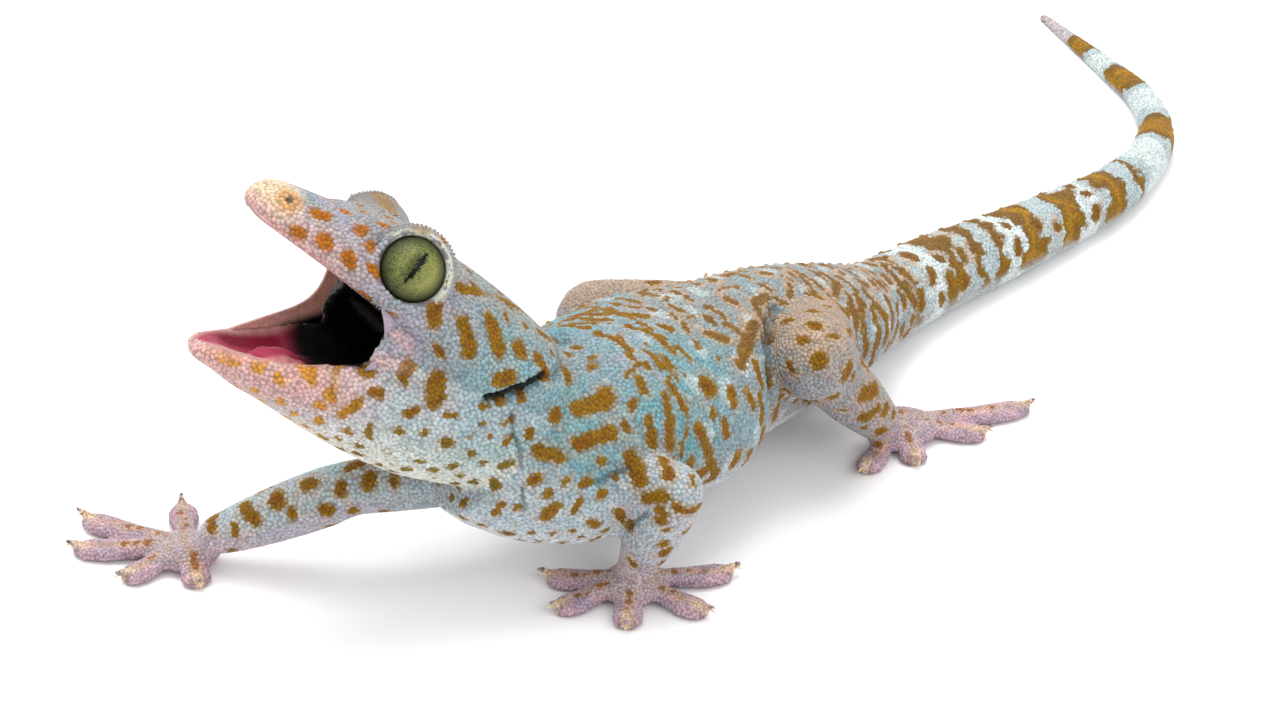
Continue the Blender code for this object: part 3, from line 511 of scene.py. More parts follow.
def make_skin():
    """One closed skin over all the flesh, smoothed where the limbs, neck and tail leave the trunk."""
    skin = linked(joined_flesh(), "skin")
    remesh = skin.modifiers.new("close", "REMESH")
    remesh.mode = "VOXEL"
    remesh.voxel_size = VOXEL * MM
    mesh = applied(skin)
    points = vertex_points(mesh)
    owner = nearest_node(points)
    net = Net(mesh)
    split = np.zeros(len(points), bool)
    differs = owner[net.a] != owner[net.b]
    split[net.a[differs]] = True
    split[net.b[differs]] = True
    joints = net.spread(split, JOINT_ROWS) * ramp(into(HEAD, points)[:, 0], 9.0, 2.0)
    points = net.smooth(points, np.full(len(points), 0.7), SMOOTH_ROUNDS)
    move_vertices(mesh, net.smooth(points, joints, JOINT_ROUNDS))
    mesh.shade_smooth()
    return skin, owner


def curve_through(stops, step):
    """Points a step apart on a smooth curve through the stops."""
    stops = np.asarray(stops, float)
    ends = np.vstack((2 * stops[0] - stops[1], stops, 2 * stops[-1] - stops[-2]))
    found = []
    for k in range(len(stops) - 1):
        p, q, r, s = ends[k:k + 4]
        count = max(1, int(np.linalg.norm(r - q) / step))
        t = (np.arange(count) / count)[:, None]
        found.append(0.5 * (2 * q + (r - p) * t + (2 * p - 5 * q + 4 * r - s) * t ** 2
                            + (3 * q - p - 3 * r + s) * t ** 3))
    return np.vstack(found + [stops[-1:]])


class Axis:
    """A curve down the middle of the trunk or a limb, with a length and an angle for each point round it."""

    def __init__(self, stops, nodes):
        self.places = curve_through(stops, 0.4)
        self.ways = np.gradient(self.places, axis=0)
        self.ways /= np.linalg.norm(self.ways, axis=1)[:, None]
        up = np.array((0.0, 0.0, 1.0)) - self.ways * self.ways[:, 2:3]
        self.ups = up / np.linalg.norm(up, axis=1)[:, None]
        self.lefts = np.cross(self.ways, self.ups)
        steps = np.linalg.norm(np.diff(self.places, axis=0), axis=1)
        self.lengths = np.concatenate(([0.0], np.cumsum(steps)))
        self.tree = tree_of(self.places)
        self.search = face_search(nodes)[0]

    def read(self, points):
        """The length along the axis, the angle from its top towards its left side, and the axis's way."""
        near = np.array([self.tree.find(point)[1] for point in np.asarray(points, float)])
        off = points - self.places[near]
        angle = np.arctan2((off * self.lefts[near]).sum(1), (off * self.ups[near]).sum(1))
        return self.lengths[near], angle, self.ways[near]

    def surface(self, length, angle):
        """The point of the surface at a length along the axis and an angle round it, or None."""
        k = min(int(np.searchsorted(self.lengths, length)), len(self.places) - 1)
        out = self.ups[k] * math.cos(angle) + self.lefts[k] * math.sin(angle)
        start = Vector(placed(self.places[k]))
        hit = self.search.ray_cast(start + Vector(out) * 40 * MM, -Vector(out), 40 * MM)[0]
        return None if hit is None else measured(hit)

    def mark(self, *spots):
        """The points of the surface at some lengths and angles, or None where one of them misses it."""
        ends = [self.surface(*spot) for spot in spots]
        return None if any(end is None for end in ends) else ends


def distance_to_line(points, line):
    """How far points are from a line through some stops."""
    line = np.asarray(line, float)
    best = np.full(len(points), 1e9)
    for a, b in zip(line, line[1:]):
        way = b - a
        share = np.clip(((points - a) @ way) / max(way @ way, 1e-9), 0.0, 1.0)
        best = np.minimum(best, np.linalg.norm(points - a - share[:, None] * way, axis=1))
    return best


def inside_mouth(points, normals):
    """How far, from 0 to 1, each point of the skin lies within the lips."""
    value = np.zeros(len(points))
    for frame_here, middle, half in MOUTH_HOLLOWS:
        turned = normals @ np.array(frame_here.to_3x3())
        off = (into(frame_here, points) - np.array(middle)) / (np.array(half) + 0.55)
        inward = -(turned * off / (np.array(half) + 0.55)).sum(1)
        value = np.maximum(value, ramp(np.linalg.norm(off, axis=1), 1.08, 1.02) * ramp(inward, 0.0, 0.02))
    for frame_here, xs, halves, edges, sign in LIPS:
        here = into(frame_here, points)
        facing = (normals @ np.array(frame_here.to_3x3()))[:, 2] * sign
        half = np.interp(here[:, 0], xs, halves)
        edge = np.interp(here[:, 0], xs, edges)
        flat = ramp(facing, 0.35, 0.75) * ramp(np.abs(here[:, 1]), half - 1.5, half - 2.1)
        flat *= ramp(np.abs(here[:, 2] - edge), 1.8, 1.0) * ramp(here[:, 0], 0.0, 2.0)
        value = np.maximum(value, flat)
    return value


def eye_view(points, side):
    """Points as an eye has them: how far from its axis, which way round it, and how far out of its disc."""
    here = into(eye_frame(side), points)
    return np.hypot(here[:, 0], here[:, 1]), np.arctan2(here[:, 1], here[:, 0]), here[:, 2] - EYE_DEPTH


def lid_share(turn):
    """How broad the lid is, from 0 to 1, each way round an eye."""
    off = np.abs((np.asarray(turn) - LID_MIDDLE + math.pi) % math.tau - math.pi)
    return ramp(off, LID_ENDS, LID_FADES)


# Colours as a screen shows them.
TEAL, AQUA, BLUE_GREY, GREY = "#62979f", "#80a5aa", "#8d999e", "#938e84"
LILAC, MAUVE, ROSE, PINK = "#a39aa8", "#ab90a6", "#c9a7a4", "#dba8a2"
PALE, BELLY, SNOW, CREAM = "#b7c5c7", "#ccd3d6", "#ced7d6", "#efd3a4"
PEACH, SHADOW = "#b9946e", "#2d4447"
OCHRE, RUST, GOLD, OLIVE = "#836006", "#7c4a04", "#a67818", "#736216"
SNOUT_BROWN, JAW_GOLD, DUN, FOOT_BROWN = "#a86216", "#d0903c", "#785a32", "#96623a"
GUM, HOLLOW, THROAT, PALATE = "#b53a58", "#8a0f2c", "#040404", "#141013"
LIP_SHADE, PALATE_GREY, SALMON, LID_PALE = "#3f1226", "#55524e", "#ffc6b2", "#dfe3d2"
PAD_END = "#4a3434"
HORN_PALE, HORN_DARK, TOOTH_PALE, TOOTH_DARK = "#e3d3a4", "#c7ab78", "#a89684", "#8b7a70"
# How deep light goes into skin and horn, in metres.
SOFT_DEPTH = 0.0006


def paint(code):
    """A screen colour as the linear one that a shader takes."""
    values = np.array([int(code[k:k + 2], 16) / 255.0 for k in (1, 3, 5)])
    return np.where(values <= 0.04045, values / 12.92, ((values + 0.055) / 1.055) ** 2.4)


def painted(code, points):
    """One colour for every point."""
    return np.tile(paint(code), (len(points), 1))


def layered(colours, *layers):
    """Colours drawn towards one paint after another, by a share each."""
    for code, share in layers:
        share = np.clip(np.asarray(share, float), 0.0, 1.0)
        colours = colours + (paint(code) - colours) * share[:, None]
    return colours


def grown_colours(points, normals, owner):
    """The colour of the skin under its spots."""
    broad, fine = waves(points, 5.0, 3), waves(points, 1.4, 4)
    length, angle, _ = spine.read(points)
    side, around = np.abs(np.sin(angle)), np.abs(angle)
    shoulder = ramp(length, 46.0, 20.0) * ramp(side, 0.2, 0.6) * ramp(around, 1.9, 1.4)
    tail = ramp(length, 78.0, 90.0)
    plain = painted(BLUE_GREY, points)
    colours = layered(
        plain,
        (AQUA, 0.35 + 0.3 * broad + 0.3 * fine),
        (TEAL, (0.1 + 0.75 * shoulder) * (0.75 + 0.3 * broad)),
        (LILAC, (1.0 - shoulder) * (0.15 + 0.3 * fine)),
        (BELLY, ramp(length, 30.0, 14.0) * ramp(around, 1.5, 2.0) * 0.4),
        (ROSE, ramp(length, 26.0, 36.0) * ramp(around, 1.6, 2.0) * 0.35),
        (GREY, (0.45 + 0.2 * fine) * ramp(length, 22.0, 32.0) * ramp(side, 0.95, 0.4)),
        (PALE, tail * 0.75),
        (GREY, tail * ramp(around, 1.5, 2.3) * 0.5),
        (BELLY, ramp(-normals[:, 2], 0.25, 0.8) * 0.9),
        (ROSE, ramp(length, 206.0, 216.0) * 0.5),
    )
    kind = KINDS[owner]
    arm, leg, low = (np.isin(kind, kinds) for kinds in (LIMBS[:2], LIMBS[3:5], LOW))
    tone = layered(
        plain,
        (AQUA, 0.45 + 0.35 * broad),
        (TEAL, arm * (0.1 + 0.25 * fine)),
        (LILAC, np.where(arm, 0.15, 0.35) + 0.3 * fine),
        (MAUVE, ramp(normals[:, 2], 0.45, -0.25) * (0.3 + 0.5 * ramp(points[:, 0], 0.0, -12.0))),
        (ROSE, ramp(points[:, 2], 7.0, 3.5) * 0.5),
        (SNOW, arm * 0.35),
        (GREY, leg * 0.5),
        (PEACH, leg * ramp(normals[:, 2], 0.2, 0.8) * 0.5),
    )
    middles = np.array([(*middle, 0.0) for middle in (*PALMS.values(), *SOLES.values())])
    near = np.min([np.linalg.norm(points - middle, axis=1) for middle in middles], axis=0)
    wrist = np.where(low, 0.25 + 0.75 * ramp(near, 4.5, 8.5), 0.55 * ramp(near, 12.0, 6.0))
    wrist = np.where(low & (points[:, 2] < 2.2), 1.0, wrist)
    limb = np.isin(kind, LIMBS)
    colours[limb] = (tone + (toe_colours(points, fine) - tone) * wrist[:, None])[limb]

    head, jaw = into(HEAD, points), into(JAW, points)
    cheek = ramp(head[:, 0], 14.0, 6.0)
    rim = ellipsoid_share(head, NOSTRIL, (1.3, 1.5, 1.4))
    face = layered(
        plain,
        (LILAC, 0.45 + 0.3 * fine),
        (AQUA, cheek * (0.5 + 0.3 * broad)),
        (TEAL, cheek * (0.3 + 0.25 * fine) * ramp(head[:, 2], -6.0, 0.0)),
        (GREY, ramp(head[:, 2], 7.0, 9.5) * 0.6),
        (ROSE, ramp(head[:, 0], 17.0, 30.0) * ramp(head[:, 2], 7.0, 3.0) * 0.75),
        (PINK, ramp(head[:, 0], 20.0, 33.0) * ramp(head[:, 2], 2.6, 0.8) * 0.8),
        (CREAM, ramp(head[:, 0], 30.5, 35.0) * ramp(head[:, 2], 1.5, 4.0) * 0.65),
        (JAW_GOLD, ramp(rim, 1.6, 0.9) * 0.6),
        # Painted shade in the middle of each nostril's pit.
        (SHADOW, ramp(rim, 0.62, 0.35) * 0.8),
    )
    front = ramp(jaw[:, 0], 11.0, 24.0)
    chin = layered(
        painted(BELLY, points),
        (LILAC, 0.15 + 0.2 * fine),
        (BLUE_GREY, ramp(jaw[:, 2], -16.0, -6.0) * 0.4),
        (SNOW, ramp(jaw[:, 2], -4.0, -10.0) * 0.8),
        (CREAM, ramp(jaw[:, 2], -4.0, -10.0) * 0.2),
        (ROSE, front * ramp(jaw[:, 2], -10.0, -3.5) * 0.85),
        (PINK, front * ramp(jaw[:, 2], -7.0, -2.0) * 0.6),
        (AQUA, ramp(jaw[:, 0], 18.0, 4.0) * (0.5 + 0.3 * broad) * ramp(jaw[:, 2], -15.0, -6.0)),
    )
    for node, own in (("head", face), ("lower_jaw", chin)):
        colours[kind == node] = own[kind == node]
    return colours


def toe_colours(points, tone):
    """Lilac-pink hands and feet: a pale ridge down each toe, mauve sides, and cream ends."""
    flat = points * np.array((1.0, 1.0, 0.0))
    lines = [((*middle, 0.0), (*tip, 0.0)) for middle, tip, _ in TOES]
    ridge = np.min([distance_to_line(flat, line) for line in lines], axis=0)
    end = np.min([np.linalg.norm(flat - np.array(line[1]), axis=1) for line in lines], axis=0)
    return layered(
        painted(ROSE, points),
        (LILAC, 0.35 + 0.35 * tone),
        (MAUVE, ramp(ridge, 0.7, 1.5) * 0.5),
        (PEACH, ramp(ridge, 0.9, 0.3) * ramp(points[:, 2], 1.4, 2.2) * 0.35),
        (CREAM, ramp(end, 2.4, 1.2) * ramp(ridge, 1.0, 0.4) * 0.4),
        (PAD_END, ramp(end, 1.5, 0.9) * ramp(ridge, 0.5, 1.0) * 0.4),
    )


def marks_of(rows, swell=1.0):
    """Marks, each with its ends and its half width, from rows of numbers."""
    return [(np.array(row[:3]), np.array(row[3:6]), row[6] * swell) for row in rows]


def head_marks():
    """The marks of the head and jaw on both sides, in the gecko's own coordinates."""
    flip = np.array((1.0, -1.0, 1.0))
    left = marks_of(HEAD_MARKS + JAW_MARKS)
    right = [(a * flip, b * flip, half) for a, b, half in left]
    return [(out_of(HEAD, a), out_of(HEAD, b), half) for a, b, half in left + right]


def staggered(first, last, step, angles, shift):
    """Places in rows: a length along an axis and an angle round it, shifted in every other row."""
    for row, length in enumerate(np.arange(first, last, step)):
        for angle in angles:
            yield length, angle + (0.0 if row % 2 else shift)


def clearance(places, point):
    """How far a point is from the nearest of some places."""
    return np.linalg.norm(places - point, axis=1).min()


def trunk_marks(pale):
    """Spots of the left side, their likes on the right, and dashes in rows over back and flanks."""
    found = marks_of(BODY_MARKS)
    for a, b, half in marks_of(BODY_MARKS):
        spots = [spine.read(point[None]) for point in (a, b)]
        ends = spine.mark(*((length[0] + 1.2, -angle[0] + 0.1) for length, angle, _ in spots))
        if ends:
            found.append((*ends, half))
    found += marks_of(TAIL_MARKS)
    draw = np.random.default_rng(SEED)
    taken = np.array([(a + b) / 2 for a, b, _ in found])
    clear = np.array([middle for middle, _, _ in pale])
    for first, last, rows, turns, low, high, thin, thick, short, long in DASH_ROWS:
        for length, angle in staggered(first, last, rows, np.arange(-118.0, 119.0, turns), turns / 2):
            angle += draw.uniform(-5, 5)
            if not low <= abs(angle) < high:
                continue
            turned = math.radians(angle)
            along = length + draw.uniform(-0.7, 0.7)
            half = draw.uniform(thin, thick)
            reach = draw.uniform(short, long)
            ends = spine.mark((along + draw.uniform(-0.4, 0.4), turned - reach),
                              (along + draw.uniform(-0.4, 0.4), turned + reach))
            if not ends:
                continue
            middle = (ends[0] + ends[1]) / 2
            if clearance(taken, middle) >= 1.5 + half and clearance(clear, middle) >= 1.4:
                found.append((*ends, half))
    return found


def limb_marks():
    """The spots of the near limbs, and blotches in rows down each limb that miss its underside."""
    draw = np.random.default_rng(SEED + 1)
    found = marks_of(LIMB_MARKS, 1.2)
    taken = np.array([(a + b) / 2 for a, b, _ in found])
    for axis in limbs.values():
        last = axis.lengths[-1] - 1.0
        for length, angle in staggered(3.0, last, BLOTCH_ROWS, (-75, -10, 55, 120, 185), 32):
            turned = math.radians(angle + draw.uniform(-12, 12))
            middle = axis.surface(length + draw.uniform(-0.8, 0.8), turned)
            if middle is None or draw.random() < 0.15 or clearance(taken, middle) < 2.6:
                continue
            reach = draw.uniform(0.0, 0.12)
            end = axis.surface(length + draw.uniform(-0.4, 0.4), turned + reach)
            found.append((middle, middle if end is None else end, draw.uniform(0.55, 1.0)))
    return found


def toe_marks():
    """Small brown spots down the top of each toe and over the palms and soles."""
    draw = np.random.default_rng(SEED + 2)
    found = []
    for middle, tip, top in TOES:
        root, end = np.array((*middle, top)), np.array((*tip, 2.0))
        for share in (0.02, 0.16, 0.3, 0.44, 0.58, 0.72):
            at = root + (end - root) * (share + draw.uniform(-0.04, 0.04))
            at[:2] += draw.uniform(-0.3, 0.3, 2)
            found.append((at, at, draw.uniform(0.35, 0.62)))
    return found


def mask_of(points, marks, swell, softness, seed):
    """How far, from 0 to 1, each point lies in any of the marks, whose edges waver."""
    tree = tree_of(points)
    wobble = 1.0 + 0.2 * waves(points, 0.9, seed) + 0.16 * waves(points, 2.4, seed + 40)
    mask = np.zeros(len(points))
    for a, b, half in marks:
        half = half * swell
        reach = np.linalg.norm(b - a) / 2 + half * 1.6
        near = [k for _, k, _ in tree.find_range((a + b) / 2, reach)]
        if near:
            off = distance_to_line(points[near], (a, b)) / (half * wobble[near])
            mask[near] = np.maximum(mask[near], ramp(off, 1.0 + softness, 1.0 - softness))
    return mask


def tail_bands(points):
    """Along the tail: its white patches, its ochre bands, and how deep inside a band each point lies."""
    length, angle, _ = spine.read(points)
    length = length + 1.0 * waves(points, 2.8, 21) + 0.45 * waves(points, 0.9, 22)
    white, band, deep = np.zeros(len(points)), np.zeros(len(points)), np.zeros(len(points))
    for middle, half in TAIL_WHITES:
        white = np.maximum(white, ramp(np.abs(length - middle), half + 0.3, half - 0.5))
    for middle, half in TAIL_BANDS:
        inner = half - np.abs(length - middle)
        band = np.maximum(band, ramp(inner, -0.25, 0.25))
        deep = np.maximum(deep, ramp(inner, 1.1, 2.0))
    under = ramp(np.abs(angle), 1.7, 2.2)
    return white, band * (1.0 - under * 0.9), deep


def marked_colours(points, normals, owner):
    """The colours of the skin with all its markings, and painted shade in its creases, ear slits and
    nostrils, the same for the skin and for the scales on it.
    """
    head, jaw = into(HEAD, points), into(JAW, points)
    length, angle, _ = spine.read(points)
    kind = KINDS[owner]
    on_head, on_jaw = kind == "head", kind == "lower_jaw"
    both = on_head | on_jaw
    trunk, low = np.isin(kind, TRUNK), np.isin(kind, LOW)
    tone = waves(points, 1.1, 9)
    top = trunk * ramp(length, 22.0, 36.0) * ramp(np.abs(angle), 1.3, 0.6)
    tail = ramp(length, TAIL_START, TAIL_START + 4.0) * trunk
    white, band, deep = tail_bands(points)
    halo, spots, core = (mask_of(points, marks["all"], *values)
                         for values in ((1.7, 0.35, 5), (1.0, 0.2, 7), (0.62, 0.4, 7)))
    spots = np.maximum(spots, band * tail)
    rust = layered(
        painted(OCHRE, points),
        (RUST, core * (0.45 + 0.35 * tone)),
        (SNOUT_BROWN, ramp(head[:, 0], 12.0, 26.0) * on_head * 0.9),
        (OLIVE, ramp(jaw[:, 2], -5.0, -8.5) * on_jaw * 0.9),
        (JAW_GOLD, ramp(jaw[:, 0], 13.0, 25.0) * on_jaw * 0.9),
        (DUN, top * 0.7),
        (FOOT_BROWN, low * 0.9),
        (GOLD, tail * deep * (0.6 + 0.3 * tone)),
    )
    colours = layered(
        grown_colours(points, normals, owner),
        (PEACH, halo * np.where(both, 0.22, np.where(trunk, 0.3 + 0.35 * top, 0.4))),
        (SNOW, mask_of(points, marks["pale"], 1.0, 0.25, 6) * 0.38),
        (SNOW, white * tail * 0.9),
    )
    colours += (rust - colours) * spots[:, None]
    # Sunken folds are painted darker along their lines: painted shade in the creases.
    creases = [(SHADOW, ramp(distance_to_line(points, stops), half * 1.2, half * 0.3) * 0.6)
               for stops, half, rise in folds if rise < 0]
    colours = layered(colours, *creases, (PINK, lip_edge(points) * both * 0.55))
    within = inside_mouth(points, normals) * both
    colours += (mouth_colours(head, jaw) - colours) * within[:, None]
    # The ear slits are painted black and the nostrils' holes dark: painted shade in these openings.
    slit = distance_to_line(head * (1, 0, 1), np.array(EAR_SLIT) * (1, 0, 1))
    hole = ellipsoid_share(head, NOSTRIL, (0.75, 0.9, 0.75))
    colours = layered(
        colours,
        (THROAT, ramp(slit, 0.8, 0.45) * (np.abs(head[:, 1]) > 8.0) * 0.95),
        (PAD_END, ramp(hole, 0.8, 0.4) * on_head * 0.6),
    )
    return colours, within, spots


def mouth_colours(head, jaw):
    """The inside of the mouth: black at the back, red and pink on the floor, dark over the palate."""
    floor = ramp(jaw[:, 0], 19.0, 22.5) * ramp(jaw[:, 2], 2.6, 0.8) * ramp(head[:, 2], -1.0, -2.0)
    roof = ramp(head[:, 2], -2.0, -0.5) * (1.0 - floor)
    hollow = ramp(distance_to_line(to_left(jaw), ((23.5, 5.6, -1.2), (30.0, 3.6, -1.0))), 2.3, 1.2)
    stripe = distance_to_line(to_left(head), PALATE_STRIPE)
    past_skull = np.abs(head[:, 1]) - np.interp(head[:, 0], SKULL_X, SKULL_HALF)
    past_jaw = np.abs(jaw[:, 1]) - np.interp(jaw[:, 0], JAW_X, JAW_HALF)
    return layered(
        painted(THROAT, head),
        (GUM, floor),
        (HOLLOW, floor * hollow),
        (PINK, floor * ramp(past_jaw, -2.8, -1.4) * 0.85),
        (PALATE, roof),
        (LIP_SHADE, roof * ramp(past_skull, -3.2, -1.2)),
        (PINK, roof * ramp(head[:, 0], 19.0, 24.0) * ramp(past_skull, -4.0, -2.2) * 0.9),
        (PALATE_GREY, ramp(stripe, 0.7, 0.35) * 0.9),
    )


def to_left(here):
    """Points of the head's or the jaw's frame, with those of its right side moved to its left."""
    return np.abs(here * (0, 1, 0)) + here * (1, 0, 1)


def ellipsoid_share(here, middle, half):
    """How far points of a frame are out in an ellipsoid on either side, 1 being on it."""
    return np.linalg.norm((to_left(here) - np.array(middle)) / np.array(half), axis=1)


def lip_edge(points):
    """How near points are to the edge of either lip."""
    near = np.zeros(len(points))
    for frame_here, xs, halves, edges, _ in LIPS:
        here = into(frame_here, points)
        half = np.interp(here[:, 0], xs, halves)
        edge = np.interp(here[:, 0], xs, edges)
        off = np.hypot(np.abs(here[:, 1]) - half, here[:, 2] - edge)
        near = np.maximum(near, ramp(off, 1.5, 0.7) * ramp(here[:, 0], 10.0, 16.0))
    return near


def pale_marks():
    """Pale spots in rows across the back, each a little broader than long."""
    draw = np.random.default_rng(SEED + 6)
    found = []
    for length, angle in staggered(20.0, 84.0, 6.4, range(-105, 106, 35), 17):
        along = length + draw.uniform(-1.0, 1.0)
        turned = math.radians(angle + draw.uniform(-7, 7))
        ends = spine.mark((along, turned - 0.05), (along, turned + 0.05))
        if ends:
            found.append((*ends, draw.uniform(0.7, 1.15)))
    return found


def strewn_marks(surface, within):
    """Small spots over the throat, neck, shoulders and crown, wherever there is room for them."""
    draw = np.random.default_rng(SEED + 8)
    points, name = surface.points, NAMES[surface.owner]
    head, jaw = into(HEAD, points), into(JAW, points)
    length, angle, _ = spine.read(points)
    room = np.zeros(len(points))
    room[(name == "head") & (head[:, 0] < 14.0) & (head[:, 2] > 1.0)] = 1.7
    room[(name == "head") & (head[:, 0] < 28.0) & (head[:, 2] > 6.5)] = 1.7
    room[(name == "lower_jaw") & (jaw[:, 2] < -5.0)] = 1.15
    room[name == "neck"] = 1.35
    room[(name == "torso") & (length < 26.0) & (np.abs(angle) > 0.4)] = 1.4
    room[within > 0.05] = 0.0
    places = np.array([end for a, b, _ in marks["all"] for end in (a, (a + b) / 2, b)])
    halves = np.array([half for _, _, half in marks["all"] for _ in range(3)])
    found = []
    for k in draw.permutation(np.flatnonzero(room))[:STREWN_TRIES]:
        half = draw.uniform(0.48, 0.82)
        if (np.linalg.norm(places - points[k], axis=1) - halves).min() < room[k] + half:
            continue
        way = np.cross(surface.normals[k], (0.3, 0.9, 0.2)) * draw.uniform(0.0, 0.7)
        found.append((points[k], points[k] + way, half))
        places = np.vstack((places, points[k]))
        halves = np.append(halves, half)
    return found


def fold_lines():
    """The stops of each fold in the gecko's own coordinates, with its half width and rise."""
    found = []
    for here, both, stops, half, rise in FOLDS:
        for side in (1, -1) if both else (1,):
            found.append((out_of(here, np.array(stops) * (1, side, 1)), half, rise))
    return found


def shape_details(mesh):
    """The ears, nostrils, corners of the mouth and folds, moved into the skin along its normals."""
    points = vertex_points(mesh)
    lift = np.zeros(len(points))
    for stops, half, rise in folds:
        lift += rise * np.exp(-(distance_to_line(points, stops) / half) ** 2)
    head = to_left(into(HEAD, points))
    for middle, radius, rise in HEAD_SWELLS:
        lift += rise * np.exp(-(np.linalg.norm(head - middle, axis=1) / radius) ** 2)
    move_vertices(mesh, points + vertex_normals(mesh) * lift[:, None])


def unwrapped(skin):
    """Lays the skin's own shape out flat in a map named OFBake."""
    skin.data.uv_layers.new(name="OFBake")
    bpy.context.view_layer.objects.active = skin
    skin.select_set(True)
    bpy.ops.object.mode_set(mode="EDIT")
    bpy.ops.mesh.select_all(action="SELECT")
    bpy.ops.uv.smart_project(angle_limit=math.radians(66), island_margin=0.001)
    bpy.ops.object.mode_set(mode="OBJECT")
    skin.select_set(False)


class SkinSurface:
    """The skin's triangles, to strew scales over and to lay each root on."""

    def __init__(self, mesh, owner):
        mesh.calc_loop_triangles()
        count = len(mesh.loop_triangles)
        self.corners = np.empty(count * 3, int)
        mesh.loop_triangles.foreach_get("vertices", self.corners)
        self.corners = self.corners.reshape(-1, 3)
        loops = np.empty(count * 3, int)
        mesh.loop_triangles.foreach_get("loops", loops)
        flat = np.empty(len(mesh.loops) * 2)
        mesh.uv_layers["OFBake"].uv.foreach_get("vector", flat)
        self.uvs = flat.reshape(-1, 2)[loops].reshape(-1, 3, 2)
        self.points = vertex_points(mesh)
        self.normals = vertex_normals(mesh)
        self.owner = owner
        self.search = BVHTree.FromPolygons(self.points.tolist(), self.corners.tolist())

    def strewn(self, spacing, draw):
        """Points about a spacing apart, which is given for each vertex. A spacing of 0 leaves skin bare."""
        apart = spacing[self.corners].mean(axis=1)
        bare = (spacing[self.corners] <= 0.0).any(axis=1)
        a, b, c = (self.points[self.corners[:, k]] for k in range(3))
        areas = np.linalg.norm(np.cross(b - a, c - a), axis=1) / 2
        weight = np.where(bare, 0.0, areas / np.maximum(apart, 0.01) ** 2)
        count = int(weight.sum() * TRIES)
        picked = draw.choice(len(weight), count, p=weight / weight.sum())
        share = np.sqrt(draw.random(count))
        turn = draw.random(count)
        points = (a[picked] * (1 - share)[:, None] + b[picked] * (share * (1 - turn))[:, None]
                  + c[picked] * (share * turn)[:, None])
        gaps = apart[picked] * CLOSEST
        tree = tree_of(points)
        free = np.ones(count, bool)
        kept = []
        for k in range(count):
            if free[k]:
                kept.append(k)
                for _, other, _ in tree.find_range(points[k], gaps[k]):
                    free[other] = False
        return points[kept], apart[picked][kept]

    def settled(self, points, apart, rounds):
        """Points pushed away from their nearest neighbours and laid back on the skin."""
        for _ in range(rounds):
            tree = tree_of(points)
            near = np.array([[other for _, other, _ in tree.find_n(point, 7)] for point in points])
            off = points[:, None, :] - points[near[:, 1:]]
            length = np.linalg.norm(off, axis=2)
            push = np.clip(1.05 * apart[:, None] - length, 0.0, None) / np.maximum(length, 0.01)
            moved = points + (off * push[:, :, None]).sum(axis=1) * 0.28
            points = np.array([self.search.find_nearest(point)[0] for point in moved])
        return points

    def rooted(self, points):
        """For each point: its place on the skin, the skin's normal, its node and its place on the map."""
        places, normals, owners, maps = [], [], [], []
        for point in points:
            place, _, face, _ = self.search.find_nearest(point)
            corners = self.corners[face]
            near = np.linalg.norm(self.points[corners] - np.array(place), axis=1)
            weight = 1.0 / (near + 0.02)
            weight /= weight.sum()
            places.append(place)
            normals.append(weight @ self.normals[corners])
            owners.append(self.owner[corners[near.argmin()]])
            maps.append(weight @ self.uvs[face])
        normals = np.array(normals)
        normals /= np.linalg.norm(normals, axis=1)[:, None]
        return np.array(places), normals, np.array(owners), np.array(maps)


def scale_shape(sides, rings):
    """A small dome with its rim sunk, from (radius, height) rings, as points and faces."""
    shape = bmesh.new()
    rim = bmesh.ops.create_circle(shape, segments=sides, radius=rings[0][0])["verts"]
    bmesh.ops.translate(shape, verts=rim, vec=(0, 0, rings[0][1]))
    edges = list(shape.edges)
    for (before, _), (radius, height) in zip(rings, rings[1:]):
        grown = bmesh.ops.extrude_edge_only(shape, edges=edges)["geom"]
        verts = [item for item in grown if isinstance(item, bmesh.types.BMVert)]
        edges = [item for item in grown if isinstance(item, bmesh.types.BMEdge)]
        edges = [edge for edge in edges if all(vert in verts for vert in edge.verts)]
        bmesh.ops.scale(shape, verts=verts, vec=(radius / before, radius / before, 1))
        for vert in verts:
            vert.co.z = height
    bmesh.ops.contextual_create(shape, geom=edges)
    crown = [face for face in shape.faces if len(face.verts) > 4]
    for vert in bmesh.ops.poke(shape, faces=crown)["verts"]:
        vert.co.z = SCALE_CROWN
    bmesh.ops.recalc_face_normals(shape, faces=shape.faces)
    shape.verts.index_update()
    points = np.array([vert.co[:] for vert in shape.verts])
    faces = [[vert.index for vert in face.verts] for face in shape.faces]
    if sum(face.normal.z for face in shape.faces) < 0:
        faces = [face[::-1] for face in faces]
    shape.free()
    return points, faces


